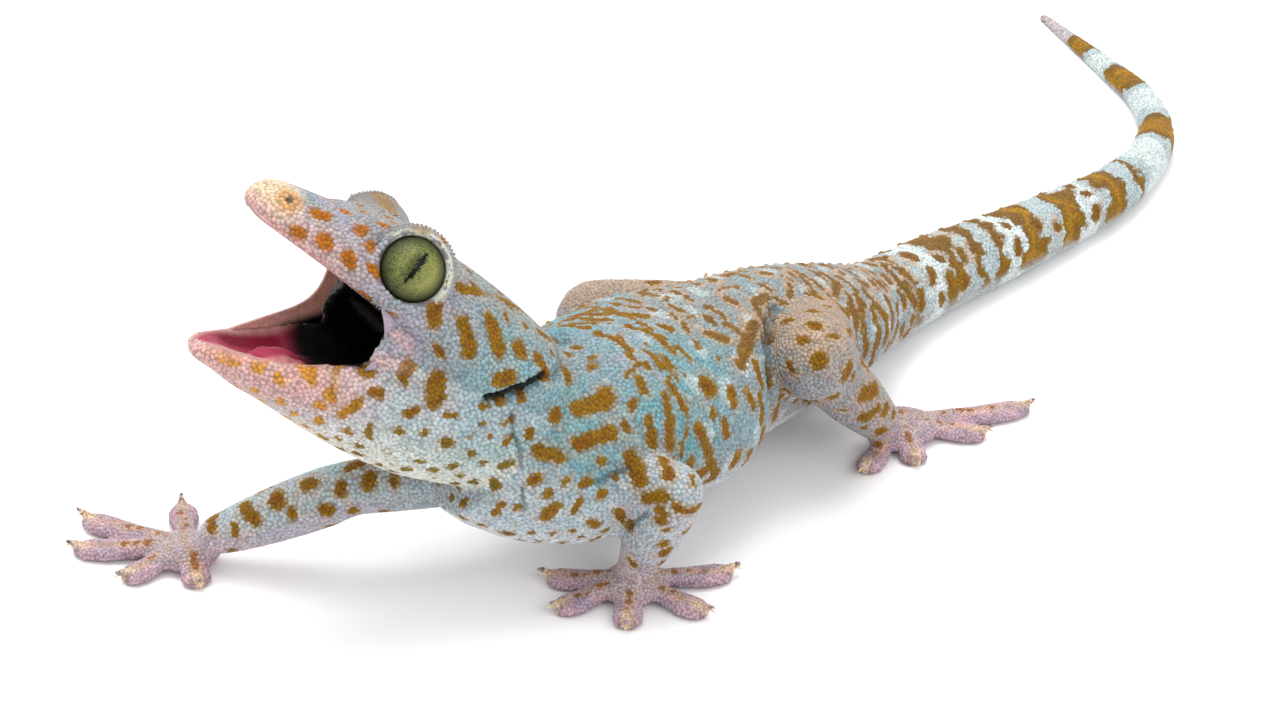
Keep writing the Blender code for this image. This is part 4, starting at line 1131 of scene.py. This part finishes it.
def coat(name, shape, roots, normals, ways, widths, lengths, heights, colours, maps):
    """One mesh of a scale repeated at each root, its X along the lie and its Z out of the skin."""
    template, faces = shape
    out = normals / np.linalg.norm(normals, axis=1)[:, None]
    along = ways - out * (ways * out).sum(1)[:, None]
    along /= np.maximum(np.linalg.norm(along, axis=1)[:, None], 1e-9)
    across = np.cross(out, along)
    local = template[None] * np.stack((lengths, widths, heights), axis=1)[:, None, :]
    points = (roots[:, None] + local[..., :1] * along[:, None] + local[..., 1:2] * across[:, None]
              + local[..., 2:] * out[:, None])
    points[..., 2] = np.maximum(points[..., 2], 0.0)
    count, size = len(roots), len(template)
    corners = np.array([i for face in faces for i in face])
    sizes = np.array([len(face) for face in faces])
    every = (corners[None] + np.arange(count)[:, None] * size).ravel()
    mesh = bpy.data.meshes.new(name)
    mesh.vertices.add(count * size)
    mesh.loops.add(len(every))
    mesh.polygons.add(count * len(faces))
    mesh.vertices.foreach_set("co", placed(points.reshape(-1, 3)).ravel())
    mesh.loops.foreach_set("vertex_index", every)
    starts = np.concatenate(([0], np.cumsum(np.tile(sizes, count))[:-1]))
    mesh.polygons.foreach_set("loop_start", starts)
    mesh.update(calc_edges=True)
    mesh.shade_smooth()
    # Each scale's rim is painted darker than its crown: painted shade where the scale sinks into the skin.
    shade = np.where(np.hypot(template[:, 0], template[:, 1]) > 0.95, RIM_SHADE, 1.0)
    paint_mesh(mesh, np.repeat(colours, size, axis=0) * np.tile(shade, count)[:, None])
    spot = maps[:, None] + template[None, :, :2] * PATCH / 2
    layer = mesh.uv_layers.new(name="OFBake")
    layer.uv.foreach_set("vector", spot.reshape(-1, 2)[every].ravel())
    mesh.materials.append(scale_skin)
    return linked(mesh, name)


def paint_mesh(mesh, colours):
    """Keeps a colour for each vertex in the attribute that the materials read."""
    layer = mesh.color_attributes.new("Marking", "FLOAT_COLOR", "POINT")
    full = np.ones((len(colours), 4))
    full[:, :3] = np.clip(colours, 0.0, 1.0)
    layer.data.foreach_set("color", full.ravel())


def lie_of(points, owner):
    """The way that the scales point: back from the snout, down the trunk and out along the limbs."""
    ways = spine.read(points)[2].copy()
    ways[np.isin(KINDS[owner], ("head", "lower_jaw"))] = -np.array(HEAD.to_3x3())[:, 0]
    for (kind, side), axis in limbs.items():
        own = np.isin(NAMES[owner], [f"{part}_{side}" for part in LIMB_PARTS[kind]])
        if own.any():
            ways[own] = axis.read(points[own])[2]
    return ways


def spacing_of(points, normals, owner, within):
    """How far apart the small scales are at each vertex of the skin, or 0 where it is bare."""
    kind = KINDS[owner]
    low = np.isin(kind, LOW)
    spacing = np.full(len(points), BODY_SCALE)
    spacing[np.isin(kind, ("head", "lower_jaw"))] = HEAD_SCALE
    spacing[np.isin(kind, LIMBS)] = LIMB_SCALE
    spacing[low] = FOOT_SCALE
    spacing[(normals[:, 2] < -0.6) & np.isin(kind, TRUNK)] = BELLY_SCALE
    spacing[within > 0.4] = 0.0
    spacing[low & (normals[:, 2] < -0.5) & (points[:, 2] < 1.5)] = 0.0
    for side in (1, -1):
        off, turn, out = eye_view(points, side)
        reach = BARE_BELOW + (BARE_ABOVE - BARE_BELOW) * lid_share(turn)
        spacing[(off < reach) & (out > -3.2)] = 0.0
    return spacing


def make_scales(surface, within):
    """Small domed scales all over the skin, in one piece for each stretch of the body."""
    draw = np.random.default_rng(SEED + 3)
    spacing = spacing_of(surface.points, surface.normals, surface.owner, within)
    points, apart = surface.strewn(spacing, draw)
    points = surface.settled(points, apart, SETTLE_ROUNDS)
    roots, normals, owner, maps = surface.rooted(points)
    lie = lie_of(roots, owner)
    colours = scale_colours(roots, normals, owner, draw)
    shape = scale_shape(6, SCALE_RINGS)
    kind, count = KINDS[owner], len(roots)
    widths = apart * SCALE_WIDTH * draw.uniform(0.94, 1.06, count)
    lengths = apart * SCALE_LENGTH * draw.uniform(0.94, 1.1, count)
    heights = np.where(np.isin(kind, TRUNK), FLAT_HEIGHT, SCALE_HEIGHT)
    heights = apart * heights * draw.uniform(0.8, 1.25, count)
    tilt = normals - lie * SCALE_LEAN
    made = []
    for piece, kinds in COAT_PIECES.items():
        own = np.isin(kind, kinds)
        values = (values[own] for values in (roots, tilt, lie, widths, lengths, heights, colours, maps))
        made.append(coat(f"scales_{piece}", shape, *values))
    return made


def scale_colours(roots, normals, owner, draw):
    """The skin's colours at the scales' roots, each a little off the next one's."""
    colours, _, spots = marked_colours(roots, normals, owner)
    light = draw.normal(1.0, 0.075, len(roots)).clip(0.75, 1.25)
    tint = draw.normal(0.0, 0.035, len(roots))[:, None] * (1.0 - spots[:, None])
    return colours * light[:, None] * (1.0 + tint * np.array((-1.0, 0.15, 0.8)))


def make_tubercles(surface):
    """Raised cones in rows down the back and in rings round the tail."""
    draw = np.random.default_rng(SEED + 4)
    found = []
    for length, angle in staggered(6.0, 88.0, TUBERCLE_ROWS, range(-77, 78, 14), 7):
        turned = math.radians(angle + draw.uniform(-2.5, 2.5))
        place = spine.surface(length + draw.uniform(-0.5, 0.5), turned)
        if place is not None:
            found.append((place, draw.uniform(0.5, 0.68)))
    last, ring = spine.lengths[-1] - 12.0, (-78, -47, -16, 16, 47, 78)
    for length, angle in staggered(90.0, last, TAIL_RINGS, ring, 0):
        girth = np.interp(length, (88.0, spine.lengths[-1]), (1.0, 0.35))
        place = spine.surface(length + draw.uniform(-0.3, 0.3), math.radians(angle + draw.uniform(-3, 3)))
        if place is not None:
            found.append((place, 0.62 * girth * draw.uniform(0.85, 1.1)))
    roots, normals, owner, maps = surface.rooted(np.array([place for place, _ in found]))
    sizes = np.array([size for _, size in found])
    lie = lie_of(roots, owner)
    colours = scale_colours(roots, normals, owner, draw)
    return coat("tubercles", scale_shape(8, TUBERCLE_RINGS), roots, normals - lie * 0.15, lie,
                sizes, sizes * 1.15, sizes * 0.62, colours, maps)


def turned_profile(profile, segments):
    """A mesh spun from (radius, height) points round the Z axis, in millimetres."""
    shape = bmesh.new()
    verts = [shape.verts.new((radius, 0.0, height)) for radius, height in profile]
    edges = [shape.edges.new(pair) for pair in zip(verts, verts[1:])]
    bmesh.ops.spin(shape, geom=verts + edges, cent=(0, 0, 0), axis=(0, 0, 1), angle=math.tau,
                   steps=segments, use_merge=True)
    bmesh.ops.remove_doubles(shape, verts=shape.verts, dist=0.0005)
    bmesh.ops.recalc_face_normals(shape, faces=shape.faces)
    return shape


def eye_frame(side):
    """An eye's frame: its origin at the ball's middle, its Z out along the axis, its Y up the slit."""
    up = Vector(SLIT_WAY)
    up = (up - EYE_AXIS * up.dot(EYE_AXIS)).normalized()
    turn = Matrix((up.cross(EYE_AXIS), up, EYE_AXIS)).transposed().to_4x4()
    flip = Matrix.Diagonal((1, side, 1, 1))
    return HEAD @ flip @ Matrix.Translation(EYE_DISC - EYE_AXIS * EYE_DEPTH) @ turn


def finished(shape, name, material):
    """A bmesh in the gecko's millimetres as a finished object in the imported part's frame."""
    bmesh.ops.translate(shape, verts=shape.verts, vec=-Vector(BOX_MIDDLE))
    bmesh.ops.scale(shape, verts=shape.verts, vec=(MM, MM, MM))
    bmesh.ops.recalc_face_normals(shape, faces=shape.faces)
    mesh = bpy.data.meshes.new(name)
    shape.to_mesh(mesh)
    shape.free()
    mesh.shade_smooth()
    mesh.materials.append(material)
    return linked(mesh, name)


def make_eye(side, name):
    """An eyeball with its map laid out flat over the iris."""
    shape = bmesh.new()
    bmesh.ops.create_uvsphere(shape, u_segments=BALL_CUTS[0], v_segments=BALL_CUTS[1], radius=EYE_RADIUS)
    layer = shape.loops.layers.uv.new("Iris")
    for face in shape.faces:
        for loop in face.loops:
            loop[layer].uv = (0.5 + loop.vert.co.x * IRIS_MAP, 0.5 + loop.vert.co.y * IRIS_MAP)
    bmesh.ops.transform(shape, matrix=eye_frame(side), verts=shape.verts)
    return finished(shape, name, iris)


def make_lid(side, name):
    """The rim of lid round an eye: broad over its front, top and back, and only a thin line below."""
    profile = [(radius, EYE_DEPTH + height) for radius, height in LID_PROFILE]
    shape = turned_profile(profile, LID_CUTS)
    for vert in shape.verts:
        x, y, z = vert.co
        radius = math.hypot(x, y)
        turn = math.atan2(y, x)
        wide = float(lid_share(turn))
        grown = max(radius - EYE_DISC_RADIUS, 0.0) * (0.2 + 1.3 * wide)
        ripple = 0.04 * math.sin(turn * 31) * min(grown, 1.0)
        scale = (min(radius, EYE_DISC_RADIUS) + grown + ripple) / radius
        vert.co.x, vert.co.y = x * scale, y * scale
        vert.co.z = EYE_DEPTH + (z - EYE_DEPTH) * (0.3 + 0.7 * wide if z > EYE_DEPTH else 1.0)
    bmesh.ops.transform(shape, matrix=eye_frame(side), verts=shape.verts)
    lid = finished(shape, name, soft_skin)
    points, normals = vertex_points(lid.data), vertex_normals(lid.data)
    radius, turn, _ = eye_view(points, side)
    wide = lid_share(turn)
    off = np.abs((turn - LID_GOLD + math.pi) % math.tau - math.pi)
    paint_mesh(lid.data, layered(
        marked_colours(points, normals, np.zeros(len(points), int))[0],
        (LID_PALE, ramp(radius, 5.35, 5.0) * wide * 0.9),
        (RUST, (1.0 - wide) * 0.6),
        (GOLD, ramp(off, 0.34, 0.14) * ramp(radius, 4.35, 4.6) * 0.6),
    ))
    return lid


def make_lid_scales(surface):
    """Small pointed scales along the outer edge of both lids."""
    roots, normals, lie = [], [], []
    for side in (1, -1):
        here = eye_frame(side)
        for radius, height, first in ((5.2, 0.15, 0.0), (5.5, -0.3, 0.05)):
            for turn in np.arange(LID_MIDDLE - LID_FADES + first, LID_MIDDLE + LID_FADES, 0.1):
                x, y = math.cos(turn), math.sin(turn)
                roots.append(here @ Vector((radius * x, radius * y, EYE_DEPTH + height)))
                normals.append((here.to_3x3() @ Vector((x, y, 1.0))).normalized())
                lie.append(here.to_3x3() @ Vector((x, y, -0.4)))
    roots, normals, lie = np.array(roots), np.array(normals), np.array(lie)
    draw = np.random.default_rng(SEED + 7)
    sizes = draw.uniform(0.22, 0.3, len(roots))
    colours = scale_colours(roots, normals, np.zeros(len(roots), int), draw)
    return coat("lid_scales", scale_shape(6, TUBERCLE_RINGS), roots, normals, lie,
                sizes, sizes * 1.2, sizes * 1.1, colours, surface.rooted(roots)[3])


def claw_shape():
    """One hooked claw: a round root bent forwards and down to a point."""
    shape = bmesh.new()
    upright = Matrix.Rotation(math.pi / 2, 4, "Y")
    bmesh.ops.create_circle(shape, cap_ends=True, segments=CLAW_CUTS[0], radius=CLAW_ROOT, matrix=upright)
    bmesh.ops.spin(shape, geom=shape.verts[:] + shape.edges[:] + shape.faces[:], cent=(0, 0, -CLAW_BEND),
                   axis=(0, 1, 0), angle=CLAW_TURN, steps=CLAW_CUTS[1])
    for vert in shape.verts:
        turn = math.atan2(vert.co.x, vert.co.z + CLAW_BEND)
        middle = Vector((math.sin(turn), 0, math.cos(turn))) * CLAW_BEND - Vector((0, 0, CLAW_BEND))
        vert.co = middle + (vert.co - middle) * (1.0 - 0.88 * abs(turn) / CLAW_TURN)
    return shape


def make_claws():
    """A small hooked claw on the top of each toe's end."""
    whole = bmesh.new()
    for middle, tip, _ in TOES:
        forward = Vector(tip) - Vector(middle)
        turn = Matrix.Rotation(math.atan2(forward.y, forward.x), 4, "Z")
        lean = Matrix.Rotation(-CLAW_LEAN, 4, "Y")
        here = Matrix.Translation((*tip, 0)) @ turn @ Matrix.Translation(CLAW_PLACE) @ lean
        shape = claw_shape()
        bmesh.ops.transform(shape, matrix=here, verts=shape.verts)
        add_part(whole, shape)
    return finished(whole, "claws", horn)


def make_tongue():
    """The tongue: the solid's own shape, smoothed, with a groove down it, low and dark at its back."""
    tongue = linked(frame["nodes"]["tongue"].data.copy(), "tongue_skin")
    weld = tongue.modifiers.new("weld", "WELD")
    weld.merge_threshold = WELD
    remesh = tongue.modifiers.new("close", "REMESH")
    remesh.mode = "VOXEL"
    remesh.voxel_size = TONGUE_VOXEL * MM
    mesh = applied(tongue)
    points = vertex_points(mesh)
    points = Net(mesh).smooth(points, np.full(len(points), 0.8), 6)
    here = into(JAW, points)
    here[:, 2] -= 0.5 * ramp(np.abs(here[:, 1]), 1.6, 0.0) * ramp(here[:, 2], -2.5, -1.0)
    here[:, 2] += 0.12 * waves(points, 1.0, 31)
    back = ramp(here[:, 0], 24.0, 20.0)
    here[:, 2] = np.where(here[:, 2] > -3.0, -3.0 + (here[:, 2] + 3.0) * (1.0 - 0.6 * back), here[:, 2])
    move_vertices(mesh, out_of(JAW, here))
    mesh.shade_smooth()
    paint_mesh(mesh, layered(
        painted(GUM, here),
        (PINK, ramp(np.abs(here[:, 1]), 1.2, 2.6) * 0.5),
        (HOLLOW, ramp(waves(points, 1.6, 32), 0.0, 0.8) * 0.6),
        (THROAT, ramp(here[:, 0], 22.5, 19.0)),
    ))
    mesh.materials.clear()
    mesh.materials.append(wet_flesh)
    return tongue


def make_webs():
    """The thin webs of skin at the corners of the mouth, salmon to black on their inside."""
    whole = bmesh.new()
    sheet, depths = [], []
    for side, upper_end, lower_end, sag in WEBS:
        web = bmesh.new()
        bmesh.ops.create_grid(web, x_segments=WEB_CUTS[0], y_segments=WEB_CUTS[1], size=1.0)
        for vert in web.verts:
            along, across = (vert.co.x + 1.0) / 2.0, (vert.co.y + 1.0) / 2.0
            pull = sag * 4.0 * across * (1.0 - across) * along
            ends = []
            for here, end, xs, halves, rim in ((HEAD, upper_end, SKULL_X, SKULL_HALF, UPPER_RIM),
                                               (JAW, lower_end, JAW_X, JAW_HALF, LOWER_RIM)):
                x = WEB_CORNER + (end - WEB_CORNER) * along - pull
                half = float(np.interp(x, xs, halves)) - WEB_INSET
                ends.append(here @ Vector((x, side * half, float(np.interp(x, RIM_X, rim)))))
            vert.co = ends[0].lerp(ends[1], across)
            sheet.append(vert.co[:])
            depths.append(1.0 - along)
        bmesh.ops.recalc_face_normals(web, faces=web.faces)
        bmesh.ops.solidify(web, geom=web.faces[:], thickness=WEB_THICKNESS)
        add_part(whole, web)
    webs = finished(whole, "mouth_corners", wet_flesh)
    points, normals = vertex_points(webs.data), vertex_normals(webs.data)
    tree = tree_of(sheet)
    deep = np.array([depths[tree.find(point)[1]] for point in points])
    outside = (normals @ np.array(HEAD.to_3x3()))[:, 1] * np.sign(into(HEAD, points)[:, 1]) > 0.1
    inner = layered(painted(SALMON, points), (PINK, ramp(into(JAW, points)[:, 0], 17.0, 22.0) * 0.6),
                    (THROAT, ramp(deep, 0.2, 0.5)))
    outer = layered(painted(LILAC, points), (MAUVE, 0.4 + 0.4 * waves(points, 1.2, 33)))
    paint_mesh(webs.data, np.where(outside[:, None], outer, inner))
    return webs


def make_teeth():
    """A fine row of pointed teeth along the back of the upper lips."""
    whole = bmesh.new()
    draw = np.random.default_rng(SEED + 5)
    down = Matrix.Rotation(math.pi, 4, "X")
    x = TEETH_FROM
    while x < TEETH_TO:
        half = float(np.interp(x, SKULL_X, SKULL_HALF)) - TOOTH_INSET
        edge = float(np.interp(x, RIM_X, UPPER_RIM))
        slope = float(np.interp(x + 0.5, SKULL_X, SKULL_HALF) - np.interp(x - 0.5, SKULL_X, SKULL_HALF))
        tall = TOOTH_HEIGHT * draw.uniform(0.7, 1.2)
        for side in (1, -1):
            place = HEAD @ Matrix.Translation((x, half * side, edge - tall * 0.3)) @ down
            bmesh.ops.create_cone(whole, cap_ends=True, segments=6, radius1=TOOTH_RADIUS, radius2=0.03,
                                  depth=tall, matrix=place)
        x += TOOTH_STEP / math.hypot(1.0, slope)
    return finished(whole, "teeth", enamel)


class Shade:
    """Nodes added to a material's or a group's tree, each linked by name."""

    def __init__(self, tree):
        self.tree = tree

    def fill(self, node, values):
        """Gives sockets of a node their values, or links them to the sockets given."""
        for socket, value in values.items():
            if isinstance(value, bpy.types.NodeSocket):
                self.tree.links.new(value, node.inputs[socket])
            else:
                node.inputs[socket].default_value = value

    def node(self, kind, values=(), **settings):
        made = self.tree.nodes.new(kind)
        for key, value in settings.items():
            setattr(made, key, value)
        self.fill(made, dict(values))
        return made

    def mix(self, share, low, high, blend="MIX"):
        """A colour mix. Its colour sockets are the seventh and eighth."""
        return self.node("ShaderNodeMix", {0: share, 6: low, 7: high}, data_type="RGBA",
                         blend_type=blend).outputs[2]

    def darker(self, colour, grey):
        """A colour times a grey value."""
        grey = self.node("ShaderNodeCombineColor", {0: grey, 1: grey, 2: grey}).outputs[0]
        return self.mix(1.0, colour, grey, "MULTIPLY")

    def maths(self, operation, *values):
        return self.node("ShaderNodeMath", dict(enumerate(values)), operation=operation).outputs[0]

    def level(self, value, low, high, to_low=0.0, to_high=1.0):
        return self.node("ShaderNodeMapRange", {0: value, 1: low, 2: high, 3: to_low, 4: to_high}).outputs[0]

    def noise(self, scale, detail, where):
        values = {"Scale": scale, "Detail": detail, "Vector": where}
        return self.node("ShaderNodeTexNoise", values).outputs[0]

    def bump(self, strength, distance, height):
        values = {"Strength": strength, "Distance": distance, "Height": height}
        return self.node("ShaderNodeBump", values).outputs[0]


def new_material(name):
    """A material with its Principled shader, and the Shade to add to it."""
    material = bpy.data.materials.new(name)
    material.use_nodes = True
    shader = material.node_tree.nodes["Principled BSDF"]
    return material, Shade(material.node_tree), shader


def screen(code):
    return (*paint(code), 1.0)


def grain_group():
    """The grain of reptile skin: a tint with painted shade at the edges of the finest scales, a roughness
    and a normal from the finest scales and pores.
    """
    group = bpy.data.node_groups.new("Reptile grain", "ShaderNodeTree")
    for way, name, kind in (("INPUT", "Colour", "Color"), ("INPUT", "Cell size", "Float"),
                            ("INPUT", "Depth", "Float"), ("OUTPUT", "Colour", "Color"),
                            ("OUTPUT", "Roughness", "Float"), ("OUTPUT", "Normal", "Vector")):
        group.interface.new_socket(name, in_out=way, socket_type=f"NodeSocket{kind}")
    shade = Shade(group)
    given = shade.node("NodeGroupInput").outputs
    where = shade.node("ShaderNodeTexCoord").outputs["Object"]
    edge = shade.node("ShaderNodeTexVoronoi", {"Vector": where, "Scale": given["Cell size"]},
                      feature="DISTANCE_TO_EDGE").outputs["Distance"]
    mottle = shade.noise(900.0, 3.0, where)
    pores = shade.noise(5200.0, 2.0, where)
    # Darker towards each cell's edge: painted shade in the grooves between the finest scales.
    tinted = shade.darker(given["Colour"], shade.level(edge, 0.0, 0.16, 0.78, 1.0))
    tinted = shade.darker(tinted, shade.level(mottle, 0.35, 0.65, 0.9, 1.1))
    height = shade.maths("MULTIPLY_ADD", edge, 2.0, shade.maths("MULTIPLY", pores, 0.25))
    shade.node("NodeGroupOutput", {"Colour": tinted, "Roughness": shade.level(mottle, 0.3, 0.7, 0.45, 0.62),
                                   "Normal": shade.bump(given["Depth"], 0.00008, height)})
    return group


def reptile_skin(name, cell_size, depth, shadow):
    """Scaly skin in the colours that its mesh carries, darker by a share, a painted shade, where the scales
    leave gaps.
    """
    material, shade, shader = new_material(name)
    marking = shade.node("ShaderNodeAttribute", attribute_name="Marking").outputs["Color"]
    marking = shade.mix(shadow, marking, (0.0, 0.0, 0.0, 1.0))
    grain = shade.node("ShaderNodeGroup", node_tree=grain_nodes)
    shade.fill(grain, {"Colour": marking, "Cell size": cell_size, "Depth": depth})
    shade.fill(shader, {
        "Base Color": grain.outputs["Colour"], "Roughness": grain.outputs["Roughness"],
        "Normal": grain.outputs["Normal"], "Specular IOR Level": 0.15, "Subsurface Weight": 0.08,
        "Subsurface Radius": (1.0, 0.5, 0.35), "Subsurface Scale": SOFT_DEPTH,
    })
    return material


def iris_material():
    """The olive iris with its dark rim and jagged upright slit."""
    material, shade, shader = new_material("Iris")
    maths, level = shade.maths, shade.level
    where = shade.node("ShaderNodeUVMap", uv_map="Iris").outputs[0]
    split = shade.node("ShaderNodeSeparateXYZ", {0: where}).outputs
    across, up = (maths("MULTIPLY", maths("SUBTRACT", split[k], 0.5), 1.0 / IRIS_MAP) for k in (0, 1))
    high = maths("ABSOLUTE", up)
    out = maths("SQRT", maths("ADD", maths("MULTIPLY", across, across), maths("MULTIPLY", up, up)))
    blotch, speck, jag = (shade.noise(*values, where) for values in ((34.0, 4.0), (160.0, 4.0), (70.0, 3.0)))
    colour = shade.mix(level(blotch, 0.3, 0.6), screen(IRIS_DARK), screen(IRIS_OLIVE))
    yellow = maths("MULTIPLY", level(across, 0.3, 2.6), level(out, 4.0, 2.6))
    narrow = level(high, 1.2, SLIT_HALF_LENGTH, SLIT_HALF_WIDTH, 0.12)
    edge = maths("ADD", maths("MULTIPLY", maths("SUBTRACT", jag, 0.5), 1.5), narrow)
    slit = maths("MULTIPLY", level(maths("SUBTRACT", edge, maths("ABSOLUTE", across)), -0.06, 0.1),
                 level(high, SLIT_HALF_LENGTH, SLIT_HALF_LENGTH - 0.4))
    soft = maths("MULTIPLY", level(maths("ABSOLUTE", maths("ADD", across, 0.45)), 1.1, 0.2, 0.0, 0.6),
                 level(high, SLIT_HALF_LENGTH + 0.3, 1.0))
    for share, code in (
            (maths("MULTIPLY", yellow, 0.55), IRIS_GOLD), (level(speck, 0.5, 0.66, 0.0, 0.8), IRIS_GOLD),
            (level(speck, 0.48, 0.34, 0.0, 0.8), IRIS_DARK), (level(out, 2.2, 4.1), IRIS_RIM),
            (level(out, 3.85, 4.1), IRIS_EDGE), (soft, IRIS_RIM), (slit, SLIT_BLACK)):
        colour = shade.mix(share, colour, screen(code))
    shade.fill(shader, {
        "Base Color": colour, "Normal": shade.bump(0.25, 0.0001, speck), "Roughness": 0.5,
        "Specular IOR Level": 0.08, "Coat Weight": 0.08, "Coat Roughness": 0.05,
    })
    return material


def plain_skin(name, low, high, roughness, scale):
    """Smooth horn, mottled between two colours."""
    material, shade, shader = new_material(name)
    where = shade.node("ShaderNodeTexCoord").outputs["Object"]
    mottle, fine = shade.noise(scale, 4.0, where), shade.noise(scale * 5, 3.0, where)
    shade.fill(shader, {
        "Base Color": shade.mix(shade.level(mottle, 0.35, 0.65), screen(low), screen(high)),
        "Normal": shade.bump(0.35, 0.0001, fine),
        "Roughness": shade.level(fine, 0.3, 0.7, roughness - 0.06, roughness + 0.08),
        "Subsurface Weight": 0.15, "Subsurface Scale": SOFT_DEPTH,
    })
    return material


def make_floor():
    """A plain white floor."""
    material, shade, shader = new_material("Pale floor")
    shade.fill(shader, {"Base Color": screen(FLOOR_WHITE), "Roughness": 0.75})
    shape = bmesh.new()
    bmesh.ops.create_grid(shape, x_segments=1, y_segments=1, size=FLOOR_HALF)
    mesh = bpy.data.meshes.new("floor")
    shape.to_mesh(mesh)
    shape.free()
    mesh.materials.append(material)
    return linked(mesh, "floor")


def make_lights():
    """A white room with a broad lamp above and softer ones at the sides."""
    world = bpy.data.worlds.new("white room")
    world.use_nodes = True
    background = world.node_tree.nodes["Background"]
    Shade(world.node_tree).fill(background, {"Color": (1.0, 1.0, 1.0, 1.0), "Strength": ROOM_LIGHT})
    bpy.context.scene.world = world
    bpy.context.scene.view_settings.view_transform = "Standard"
    for name, place, size, power in LAMPS:
        lamp = bpy.data.lights.new(name, "AREA")
        lamp.size = size
        lamp.energy = power
        thing = bpy.data.objects.new(name, lamp)
        thing.location = place
        thing.rotation_euler = (LIT_PLACE - Vector(place)).to_track_quat("-Z", "Y").to_euler()
        bpy.context.scene.collection.objects.link(thing)


def make_camera():
    """A camera at the photo's angle."""
    data = bpy.data.cameras.new("camera")
    data.lens = LENS
    data.sensor_width = SENSOR
    data.clip_start = 0.01
    camera = bpy.data.objects.new("camera", data)
    camera.location = CAMERA_PLACE
    camera.rotation_euler = CAMERA_TURN
    bpy.context.scene.collection.objects.link(camera)
    bpy.context.scene.camera = camera


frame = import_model()
make_camera()
make_lights()
make_floor()

grain_nodes = grain_group()
scale_skin = reptile_skin("Scales", 2600.0, 0.35, 0.0)
# The skin between the scales is painted a quarter darker: painted shade in the gaps between them.
soft_skin = reptile_skin("Skin between the scales", 1900.0, 0.6, 0.25)
horn = plain_skin("Claw", HORN_PALE, HORN_DARK, 0.4, 1200.0)
enamel = plain_skin("Teeth", TOOTH_PALE, TOOTH_DARK, 0.4, 1200.0)
wet_flesh = reptile_skin("Wet flesh", 1400.0, 0.25, 0.0)
iris = iris_material()

spine = Axis(SPINE, TRUNK)
limbs = {}
for kind, chains in (("arm", ARMS), ("leg", LEGS)):
    for side, stops in chains.items():
        nodes = [f"{part}_{side}" for part in LIMB_PARTS[kind][:2]]
        limbs[kind, side] = Axis(stops, nodes)
folds = fold_lines()
pale = pale_marks()
marks = {"all": head_marks() + trunk_marks(pale) + limb_marks() + toe_marks(), "pale": pale}

skin, owner = make_skin()
shape_details(skin.data)
unwrapped(skin)
surface = SkinSurface(skin.data, owner)
marks["all"] += strewn_marks(surface, inside_mouth(surface.points, surface.normals))
colours, within, _ = marked_colours(surface.points, surface.normals, owner)
# The skin under the scales is painted darker: painted shade in the gaps between them.
covered = spacing_of(surface.points, surface.normals, surface.owner, within) > 0
paint_mesh(skin.data, colours * np.where(covered, GAP_SHADE, 1.0)[:, None])
skin.data.materials.clear()
skin.data.materials.append(soft_skin)

pieces = make_scales(surface, within) + [make_tubercles(surface), make_lid_scales(surface)]
for piece in [skin] + pieces:
    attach(piece, "root")
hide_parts(*FLESH)
for side, name in ((1, "left"), (-1, "right")):
    ball = make_eye(side, f"eyeball_{name}")
    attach(ball, "root")
    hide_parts(f"eye_{name}")
    lid = make_lid(side, f"lid_{name}")
    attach(lid, "root")
tongue = make_tongue()
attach(tongue, "root")
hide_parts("tongue")
claws = make_claws()
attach(claws, "root")
for piece in (make_webs(), make_teeth()):
    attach(piece, "root")
